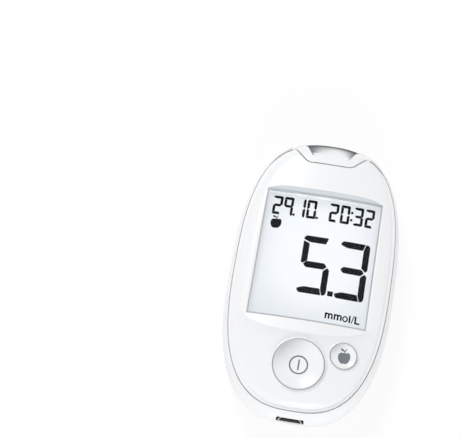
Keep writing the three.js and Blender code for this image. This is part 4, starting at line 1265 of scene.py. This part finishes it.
join(glow_tree, glow_ramp, "Color", glow_shader, "Emission Color")
set_socket(glow_shader, "Emission Strength", 0.77)
display_face = plate("display_face", *face_box, display_top - 0.2, display_top, 0.3, glow)
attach(display_face, "housing")
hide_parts("front_polarizer")
print("display face at", display_top, "mm")

# %% Where a print has to lie
# The clear sheet and the slanted view move the numbers a little, so each is laid to the side by
# that much, and the rows follow the slight sag that the curved window gives them.
ink = mould_finish("display_ink", (0.004, 0.0045, 0.006), 0.7, grain=0.02, variation=0.05)
set_socket(ink.node_tree.nodes["Principled BSDF"], "Specular IOR Level", 0.05)
seen_shift = np.array([0.18, -0.04])
seen_sag = 0.0011


def laid(points):
    points = np.asarray(points, dtype=float)
    sagged = points + seen_shift
    sagged[:, 1] -= seen_sag * points[:, 0] ** 2
    return sagged


def printed(name, outlines, holes, height, finish, body, thickness, spacing=None):
    loops = [(np.asarray(outline), True) for outline in list(outlines) + list(holes)]
    everything = np.vstack([loop for loop, _ in loops])
    low, high = everything.min(axis=0), everything.max(axis=0)
    loose = grid_points(low[0], high[0], low[1], high[1], spacing) if spacing else []

    def keep(x, y):
        inside = np.zeros(len(x), dtype=bool)
        for outline in outlines:
            inside |= in_polygon(x, y, np.asarray(outline))
        for hole in holes:
            inside &= ~in_polygon(x, y, np.asarray(hole))
        return inside

    plan, triangles = fill_plan(loops, loose, keep)
    base = height(plan[:, 0], plan[:, 1])
    obj = plan_solid(name, plan, triangles, base + thickness, base - 0.02, 30)
    wear(obj, finish)
    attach(obj, body)
    return obj


def display_print(name, outlines, holes=()):
    def height(x, y):
        return np.full(len(x), display_top)

    return printed(name, outlines, holes, height, ink, "housing", 0.03)


print("prints lie", display_top, "mm above the table")

# %% Segments for the numbers
segments_of = {"0": "abcdef", "1": "bc", "2": "abged", "3": "abgcd", "5": "afgcd", "9": "abcfg"}


def segment(name, x0, x1, y0, y1, k):
    middle = (y0 + y1) / 2
    upper = {
        "a": [(x1 - 1.6 * k, y1), (x1 - 2.25 * k, y1 - 2.05 * k), (x0 + 2.0 * k, y1 - 2.05 * k),
              (x0, y1 - 1.25 * k), (x0 + 0.05 * k, y1 - 0.7 * k), (x0 + 0.7 * k, y1)],
        "b": [(x1 - 1.15 * k, y1), (x1 - 0.5 * k, y1 - 0.15 * k), (x1 - 0.1 * k, y1 - 0.65 * k),
              (x1, y1 - 1.3 * k), (x1, middle + 1.15 * k), (x1 - 0.6 * k, middle + 0.5 * k),
              (x1 - 1.8 * k, middle + 1.65 * k), (x1 - 1.8 * k, y1 - 2.0 * k)],
        "f": [(x0, y1 - 1.95 * k), (x0 + 1.8 * k, y1 - 2.7 * k), (x0 + 1.8 * k, middle + 1.4 * k),
              (x0 + 0.4 * k, middle + 0.3 * k), (x0, middle + 0.65 * k)],
        "g": [(x0 + 0.85 * k, middle), (x0 + 1.7 * k, middle + k), (x1 - 1.85 * k, middle + k),
              (x1 - k, middle), (x1 - 1.95 * k, middle - k), (x0 + 1.75 * k, middle - k)],
    }
    if name in upper:
        return np.array(upper[name])
    mirrored = {"d": "a", "c": "b", "e": "f"}[name]
    return np.array([(x, y0 + y1 - y) for x, y in upper[mirrored]])


def softened_polygon(points, radius):
    points = np.asarray(points, dtype=float)
    result = []
    for before, here, after in zip(np.roll(points, 1, axis=0), points, np.roll(points, -1, axis=0)):
        a, b = before - here, after - here
        start = here + a / np.linalg.norm(a) * min(radius, 0.42 * np.linalg.norm(a))
        end = here + b / np.linalg.norm(b) * min(radius, 0.42 * np.linalg.norm(b))
        result.extend(bend(start, here, end, (0, 0.33, 0.67, 1)))
    return np.array(result)


def grown(points, by):
    ahead = np.roll(points, -1, axis=0) - points
    normal = np.column_stack([ahead[:, 1], -ahead[:, 0]]) / np.linalg.norm(ahead, axis=1)[:, None]
    behind = np.roll(normal, 1, axis=0)
    x, y = points.T
    twice_area = np.sum(x * np.roll(y, -1) - y * np.roll(x, -1))
    shift = (normal + behind) / (1 + np.sum(normal * behind, axis=1))[:, None]
    return points + math.copysign(by, twice_area) * shift


def digit(text, x0, x1, y0, y1, k, by):
    shapes = [grown(segment(name, x0, x1, y0, y1, k), by) for name in segments_of[text]]
    return [laid(softened_polygon(shape, 0.22 * k)) for shape in shapes]


small_y0, small_y1, small_k = 18.78, 25.3, 0.37
small_digits = [
    ("2", -16.5, -13.58), ("9", -12.93, -10.0), ("1", -8.9, -5.95), ("0", -5.3, -2.3),
    ("2", 2.2, 5.05), ("0", 5.88, 8.75), ("3", 10.38, 13.2), ("2", 14.08, 16.88),
]
small_shapes = []
for text, x0, x1 in small_digits:
    small_shapes += digit(text, x0, x1, small_y0, small_y1, small_k, 0.1)
for x, y in ((-9.45, 19.25), (-1.75, 19.25), (9.5, 20.45), (9.5, 23.1)):
    small_shapes.append(laid(circle_points(x, y, 0.44, 20)))
display_print("clock_digits", small_shapes)

big_shapes = []
for text, x0, x1 in (("5", -4.55, 4.75), ("3", 7.6, 16.9)):
    big_shapes += digit(text, x0, x1, -7.7, 12.42, 1.0, 0.12)
big_shapes.append(laid(rounded_box_points(5.34, 7.13, -7.6, -5.85, 0.2, 5)))
display_print("result_digits", big_shapes)
print("segments:", len(small_shapes) + len(big_shapes))

# %% The meal sign, an apple with a leaf
apple_body = [
    (0.0, 1.58), (-0.48, 1.5), (-0.87, 1.58), (-1.22, 1.42), (-1.5, 1.07), (-1.65, 0.6), (-1.65, 0.12),
    (-1.53, -0.4), (-1.3, -0.9), (-0.95, -1.32), (-0.56, -1.52), (-0.18, -1.45), (0.02, -1.4), (0.28, -1.45),
    (0.67, -1.42), (1.05, -1.12), (1.4, -0.58), (1.6, 0.04), (1.63, 0.65), (1.51, 1.2), (1.28, 1.58),
    (0.97, 1.72), (0.58, 1.62), (0.28, 1.5),
]
apple_leaf = [
    (-0.05, 1.8), (-0.5, 1.98), (-0.95, 2.06), (-1.22, 2.3), (-1.15, 2.57), (-0.8, 2.65), (-0.42, 2.45),
    (-0.1, 2.18), (0.08, 1.95),
]
apple_stem = [
    (-0.1, 1.45), (-0.08, 1.97), (0.1, 2.32), (0.33, 2.74), (0.52, 2.66), (0.33, 2.24), (0.17, 1.9),
    (0.15, 1.45),
]


def apple_shapes(x, y, scale):
    shapes = []
    for outline, radius in ((apple_body, 0.3), (apple_leaf, 0.2), (apple_stem, 0.06)):
        shapes.append(softened_polygon(np.array(outline) * scale + np.array([x, y]), radius * scale))
    return shapes


icon = [laid(shape) for shape in apple_shapes(-14.65, 15.25, 1.1)]
display_print("meal_icon", icon)
print("apple points:", len(apple_body) + len(apple_leaf) + len(apple_stem))

# %% The unit, drawn with a round pen
pen = 0.54


def stroke(points, width=pen):
    points = np.asarray(points, dtype=float)
    along = np.gradient(points, axis=0)
    along /= np.linalg.norm(along, axis=1)[:, None]
    side = np.column_stack([-along[:, 1], along[:, 0]]) * width / 2
    return np.vstack([points + side, (points - side)[::-1]])


def arch(x0, x1, top, bottom, knee):
    angle = np.linspace(np.pi, 0, 15)
    middle, half = (x0 + x1) / 2, (x1 - x0) / 2
    curve = np.column_stack([middle + half * np.cos(angle), top - knee + knee * np.sin(angle)])
    return np.vstack([curve, [(x1, top - knee - 0.1)], [(x1, bottom)]])


def letter_m(x, step, top, bottom):
    shapes = [stroke([(x, top + pen / 2), (x, bottom)])]
    for place in range(2):
        shapes.append(stroke(arch(x + place * step, x + (place + 1) * step, top, bottom, 0.55)))
    return shapes


unit_shapes = letter_m(5.87, 1.03, -13.68, -15.42) + letter_m(8.77, 1.03, -13.7, -15.44)
turn = np.linspace(0, 2 * np.pi, 40, endpoint=False)
ring_out = np.column_stack([12.16 + 0.93 * np.cos(turn), -14.58 + 1.05 * np.sin(turn)])
ring_in = np.column_stack([12.16 + 0.5 * np.cos(turn), -14.58 + 0.62 * np.sin(turn)])
unit_shapes.append(ring_out)
unit_shapes.append(stroke([(13.6, -13.17), (13.6, -15.6)]))
unit_shapes.append(stroke([(14.94, -13.0), (14.28, -15.6)], 0.32))
unit_shapes.append(stroke([(15.45, -13.07), (15.45, -15.66)]))
unit_shapes.append(stroke([(15.3, -15.45), (16.85, -15.45)]))
unit_sag = np.array([0.0, seen_sag * 12.0**2 - 0.02])
unit_shapes = [laid(shape + unit_sag) for shape in unit_shapes]
unit = display_print("unit_letters", unit_shapes, [laid(ring_in + unit_sag)])
print("unit letters:", len(unit.data.polygons), "faces")

# %% [markdown]
# ## The signs on the keys
# The keys carry two plain signs, a ring with a bar and an apple. They are prints, so they are thin
# films that follow the dish, and stay crisp from any side. Paint in the material would need a
# picture, and engraved signs would be too deep.

# %% Signs on the keys
def key_sign(name, key, body, outlines, holes=(), spacing=None):
    def height(x, y):
        return key_height(key, x, y)

    return printed(name, outlines, holes, height, key_print, body, 0.02, spacing)


sign_x, sign_y = 0.05, -33.35
ring_outer = circle_points(sign_x, sign_y, 3.02, 96)
ring_inner = circle_points(sign_x, sign_y, 2.55, 96)
key_sign("power_sign_ring", power_key, "power_key", [ring_outer], [ring_inner])
bar = rounded_box_points(sign_x - 0.24, sign_x + 0.24, sign_y - 1.72, sign_y + 1.75, 0.1, 0.4)
key_sign("power_sign_bar", power_key, "power_key", [bar])
apple_sign = apple_shapes(13.74, -28.85, 1.17)
key_sign("meal_sign_apple", meal_key, "meal_key", apple_sign, spacing=0.35)
print("signs: ring, bar and apple")

# %% [markdown]
# ## The window's frame
# Between the lens and the film the real meter has a printed frame, which hides the panes' edges.
# It is a thin flat ring under the lens. Three of its sides are grey. The far side is painted white as
# painted light, because the slanted view meets it where the display would still be lit.

# %% Printed frame and ledge
ledge_outline = rounded_box_points(-18.78, 19.14, -18.28, 26.38, 0.3, 3.0)
ledge_inner = rounded_box_points(-18.42, 18.85, -17.98, 26.12, 0.3, 3.0)
frame_print = mould_finish("frame_print", (0.5, 0.53, 0.56), 0.5, grain=0.05)


def ledge_keep(x, y):
    return in_polygon(x, y, ledge_outline) & ~in_polygon(x, y, ledge_inner)


plan, triangles = fill_plan([(ledge_outline, True), (ledge_inner, True)], [], ledge_keep)
ledge_top = parting_height + lens_rise(plan[:, 0]) - lens_thickness - 0.06
ledge = plan_solid("window_ledge", plan, triangles, ledge_top, np.full(len(plan), 15.75))
# Painted light: the far side of the frame is white, standing in for the lit display.
far_frame_painted_light = mould_finish("far_frame_painted_light", (0.86, 0.875, 0.89), 0.5, grain=0.05)


def at_far_side(x, y):
    return (y > 25.9) & (x > -18.4) & (x < 18.8)


paint_faces(ledge, frame_print, far_frame_painted_light, at_far_side)
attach(ledge, "housing")
print("ledge faces:", len(ledge.data.polygons))

# %% [markdown]
# ## The data socket
# The socket is a folded steel shell with slanted shoulders around a black insulator. Its lips catch
# the light as two slanted strokes in a dark opening. It is lofted along the depth with a small
# rolled lip, and the tongue carries five contacts.

# %% The socket shell
def socket_points(grow, rise=None, count=6):
    rise = grow if rise is None else rise
    half, narrow = 3.85 + grow, 3.0 + grow
    low, high = -1.95 - rise, 1.95 + rise
    waist = low + (high - low) * 0.3
    corners = [(half, low, 0.3), (half, waist, 0.25), (narrow, high, 0.3)]
    corners += [(-narrow, high, 0.3), (-half, waist, 0.25), (-half, low, 0.3)]
    points = np.array([(x, z) for x, z, _ in corners])
    result = []
    for i, (x, z, r) in enumerate(corners):
        here = points[i]
        before = points[i - 1] - here
        after = points[(i + 1) % len(points)] - here
        start = here + before / np.linalg.norm(before) * r
        end = here + after / np.linalg.norm(after) * r
        result.extend(bend(start, here, end, np.linspace(0, 1, count)))
    return np.array(result) + np.array([0, socket_middle])


def cup(name, rows, finish):
    made = loft(name, [upright_ring(socket_points(grow, rise), y) for grow, rise, y in rows])
    wear(made, finish)
    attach(made, "housing")
    return made


mouth = -48.72
shell_rows = [(0.0, 0.0, -39.9), (0.0, 0.0, mouth + 0.06), (-0.03, -0.03, mouth)]
shell_rows += [(-0.36, -0.11, mouth), (-0.4, -0.15, mouth + 0.06), (-0.4, -0.15, -40.4)]
socket_shell = cup("socket_shell", shell_rows, bright_steel)
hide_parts("data_socket_shell")
liner_rows = [(-0.41, -0.16, -40.5), (-0.41, -0.16, mouth + 0.2), (-0.5, -0.22, mouth + 0.15)]
liner_rows += [(-0.6, -0.32, mouth + 0.2), (-0.6, -0.32, -41.0)]
socket_black = mould_finish("socket_black", (0.012, 0.012, 0.013), 0.6, grain=0.2, variation=0.1)
set_socket(socket_black.node_tree.nodes["Principled BSDF"], "Specular IOR Level", 0.1)
cup("socket_liner", liner_rows, socket_black)
surround_outline = rounded_box_points(-4.75, 4.75, socket_middle - 2.5, socket_middle + 2.5, 0.8, 50)
surround_rings = [upright_ring(surround_outline, y) for y in (mouth + 0.1, -46.8)]
socket_surround = loft("socket_surround", surround_rings)
shell_space = [upright_ring(socket_points(0.005), y) for y in (-50.0, -46.0)]
combine(socket_surround, [loft("shell_space", shell_space)], "DIFFERENCE")
wear(socket_surround, socket_black)
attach(socket_surround, "housing")
print("socket mouth at", mouth)

# %% The tongue and its contacts
tongue_outline = rounded_box_points(-2.45, 2.45, 9.1, 9.8, 0.15, 50)
socket_tongue = loft("socket_tongue_blade", [upright_ring(tongue_outline, y) for y in (-48.3, -40.9)])
wear(socket_tongue, socket_black)
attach(socket_tongue, "housing")
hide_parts("data_socket_tongue")
for place in range(5):
    x = (place - 2) * 0.9
    rows = []
    for y, low, high in ((-48.36, 9.2, 9.7), (-48.3, 9.2, 9.84), (-48.1, 9.2, 9.88), (-41.2, 9.2, 9.88)):
        rows.append(upright_ring(rounded_box_points(x - 0.24, x + 0.24, low, high, 0.06, 50), y))
    contact = loft(f"socket_contact_{place + 1}", rows)
    wear(contact, bright_steel)
    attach(contact, "housing")
print("socket contacts: 5")

# %% [markdown]
# ## The back
# The back holds the battery door with a grip at its latch, four case screws with cross recesses and,
# behind the door, two coin cells. These are turned or moulded parts, so they are lofted from rings.

# %% Coin cells
def turned(name, x, y, profile, count=72):
    return loft(name, [flat_ring(circle_points(x, y, r, count), z) for r, z in profile])


cell_profile = [(9.0, 1.7), (9.62, 1.7), (9.82, 1.76), (9.95, 1.9), (10.0, 2.1), (10.0, 4.15)]
cell_profile += [(9.93, 4.35), (9.75, 4.5), (9.55, 4.55), (8.75, 4.55), (8.7, 4.5), (8.6, 4.5)]
cell_profile += [(8.5, 4.6), (8.3, 4.85), (8.1, 4.9)]
for side, label in ((-1, "left"), (1, "right")):
    cell = turned(f"coin_cell_{label}", side * 10.25, 0, cell_profile, 96)
    wear(cell, bright_steel)
    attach(cell, "housing")
    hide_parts(f"battery_cell_{label}")

print("coin cells: 2")

# %% The battery door
door_outline = rounded_box_points(-20.85, 20.85, -12.7, 12.7, 2.0, 4.0)
door_rows = ((-0.3, 0.0), (-0.1, 0.04), (-0.03, 0.12), (0.0, 0.25), (0.0, 1.3))
door_rings = [flat_ring(swollen(door_outline, grow), z) for grow, z in door_rows]
door = loft("battery_door_plate", door_rings)
extras = []
for side in (-1, 1):
    x = side * 13
    for part, far_y, low in (("hook", 14.3, 1.9), ("riser", 12.7, 0.6)):
        outline = block_points(x - 2.5, x + 2.5, 11.7, far_y, 0.15)
        extras.append(prism(f"{part}_{side + 1}", outline, low, 2.7))
extras.append(prism("tab", block_points(-4.5, 4.5, -14.2, -11.5, 0.4), 0.0, 0.8))
extras.append(prism("post", block_points(-4.5, 4.5, -12.2, -11.4, 0.15), 0.6, 3.0))
extras.append(prism("nose", block_points(-4.5, 4.5, -12.7, -12.0, 0.15), 2.5, 2.95))
for rib in range(4):
    y = -11.4 + 1.1 * rib
    outline = rounded_box_points(-5, 5, y - 0.2, y + 0.2, 0.19, 50)
    extras.append(prism(f"rib_{rib}", outline, -0.0005, 0.3))
combine(door, extras, "UNION")
wear(door, white_satin)
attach(door, "door")
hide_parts("battery_door")

print("door faces:", len(door.data.polygons))

# %% The case screws
screw_profile = [(0.6, 1.72), (1.3, 1.72), (1.62, 1.82), (1.84, 2.05), (1.9, 2.35), (1.9, 2.88)]
screw_profile += [(0.95, 2.9), (0.95, 11.5), (0.4, 12.4)]
for i, (x, y) in enumerate(screw_places):
    screw = turned(f"screw_{i + 1}", x, y, screw_profile, 48)
    arms = []
    for a, b in ((1.05, 0.24), (0.24, 1.05)):
        outline = block_points(x - a, x + a, y - b, y + b, 0.1)
        arms.append(prism(f"arm_{i}_{len(arms)}", outline, 1.0, 2.45))
    combine(screw, arms, "DIFFERENCE")
    wear(screw, bright_steel)
    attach(screw, "housing")
    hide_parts(f"case_screw_{i + 1}")
print("case screws:", len(screw_places))

# %% [markdown]
# ## Floor and light
# The meter lies on a plain pale floor. A soft lamp stands behind it to the left and shades the
# window's bevel and the left wall of each dish. A second one in front keeps the near side from
# going grey, and a pale world, brighter at the horizon, fills the rest. The levels are set so that
# a colour renders about as it is written.

# %% The floor
floor_size = 3.0
floor_mesh = bpy.data.meshes.new("floor")
floor_corners = [(floor_size * x, floor_size * y, 0) for x, y in ((-1, -1), (1, -1), (1, 1), (-1, 1))]
floor_mesh.from_pydata(floor_corners, [], [(0, 1, 2, 3)])
floor = bpy.data.objects.new("floor", floor_mesh)
bpy.context.collection.objects.link(floor)
floor.location.z = -0.0002
floor_paper, paper_tree, paper_shader = new_finish("floor_paper")
set_socket(paper_shader, "Roughness", 0.9)
set_socket(paper_shader, "Specular IOR Level", 0.1)
paper_ray = add_node(paper_tree, "LightPath")
paper_tone = colour_mix(paper_tree, (0.95, 0.95, 0.95), (1.0, 1.0, 1.0))
join(paper_tree, paper_ray, "Is Camera Ray", paper_tone, "Factor")
join(paper_tree, paper_tone, "Result", paper_shader, "Base Color")
paper_white = add_node(paper_tree, "Emission")
paper_share = add_node(paper_tree, "Math")
paper_share.operation = "MULTIPLY"
paper_share.inputs[1].default_value = 0.8
paper_mix = add_node(paper_tree, "MixShader")
join(paper_tree, paper_ray, "Is Camera Ray", paper_share, 0)
join(paper_tree, paper_share, "Value", paper_mix, "Fac")
join(paper_tree, paper_shader, "BSDF", paper_mix, 1)
join(paper_tree, paper_white, "Emission", paper_mix, 2)
join(paper_tree, paper_mix, "Shader", paper_tree.nodes["Material Output"], "Surface")
wear(floor, floor_paper)

# %% The light
world = bpy.data.worlds.new("studio")
bpy.context.scene.world = world
world.use_nodes = True
sky = world.node_tree
dome = sky.nodes["Background"]
dome.inputs["Color"].default_value = (1.0, 1.0, 1.0, 1)
dome_place = add_node(sky, "TexCoord")
dome_axes = add_node(sky, "SeparateXYZ")
dome_level = add_node(sky, "MapRange", From_Min=0.0, From_Max=1.0, To_Min=1.08, To_Max=0.48)
join(sky, dome_place, "Generated", dome_axes, "Vector")
join(sky, dome_axes, "Z", dome_level, "Value")
join(sky, dome_level, "Result", dome, "Strength")
backdrop = add_node(sky, "Background", Color=(1.0, 1.0, 1.0, 1), Strength=1.0)
world_ray = add_node(sky, "LightPath")
seen_directly = add_node(sky, "Math")
seen_directly.operation = "MAXIMUM"
seen_at_all = add_node(sky, "Math")
seen_at_all.operation = "MAXIMUM"
join(sky, world_ray, "Is Camera Ray", seen_directly, 0)
join(sky, world_ray, "Is Glossy Ray", seen_directly, 1)
join(sky, seen_directly, "Value", seen_at_all, 0)
join(sky, world_ray, "Is Transmission Ray", seen_at_all, 1)
world_mix = add_node(sky, "MixShader")
join(sky, seen_at_all, "Value", world_mix, "Fac")
join(sky, dome, "Background", world_mix, 1)
join(sky, backdrop, "Background", world_mix, 2)
join(sky, world_mix, "Shader", sky.nodes["World Output"], "Surface")


def soft_lamp(name, place, target, size, power):
    lamp_data = bpy.data.lights.new(name, "AREA")
    lamp_data.shape = "RECTANGLE"
    lamp_data.size, lamp_data.size_y = size
    lamp_data.energy = power
    lamp = bpy.data.objects.new(name, lamp_data)
    bpy.context.collection.objects.link(lamp)
    lamp.location = place
    lamp.rotation_euler = (Vector(target) - Vector(place)).to_track_quat("-Z", "Y").to_euler()
    return lamp


soft_lamp("key_lamp", (-0.4, 0.73, 0.92), (0, 0, 0.01), (0.36, 0.36), 4.8)
soft_lamp("fill_lamp", (0.2, -1.2, 0.5), (0, 0, 0.01), (0.6, 0.4), 4.6)
print("lamps:", len(bpy.data.lights))
bpy.context.scene.view_settings.view_transform = "Standard"

# %% Update the scene
bpy.context.view_layer.update()
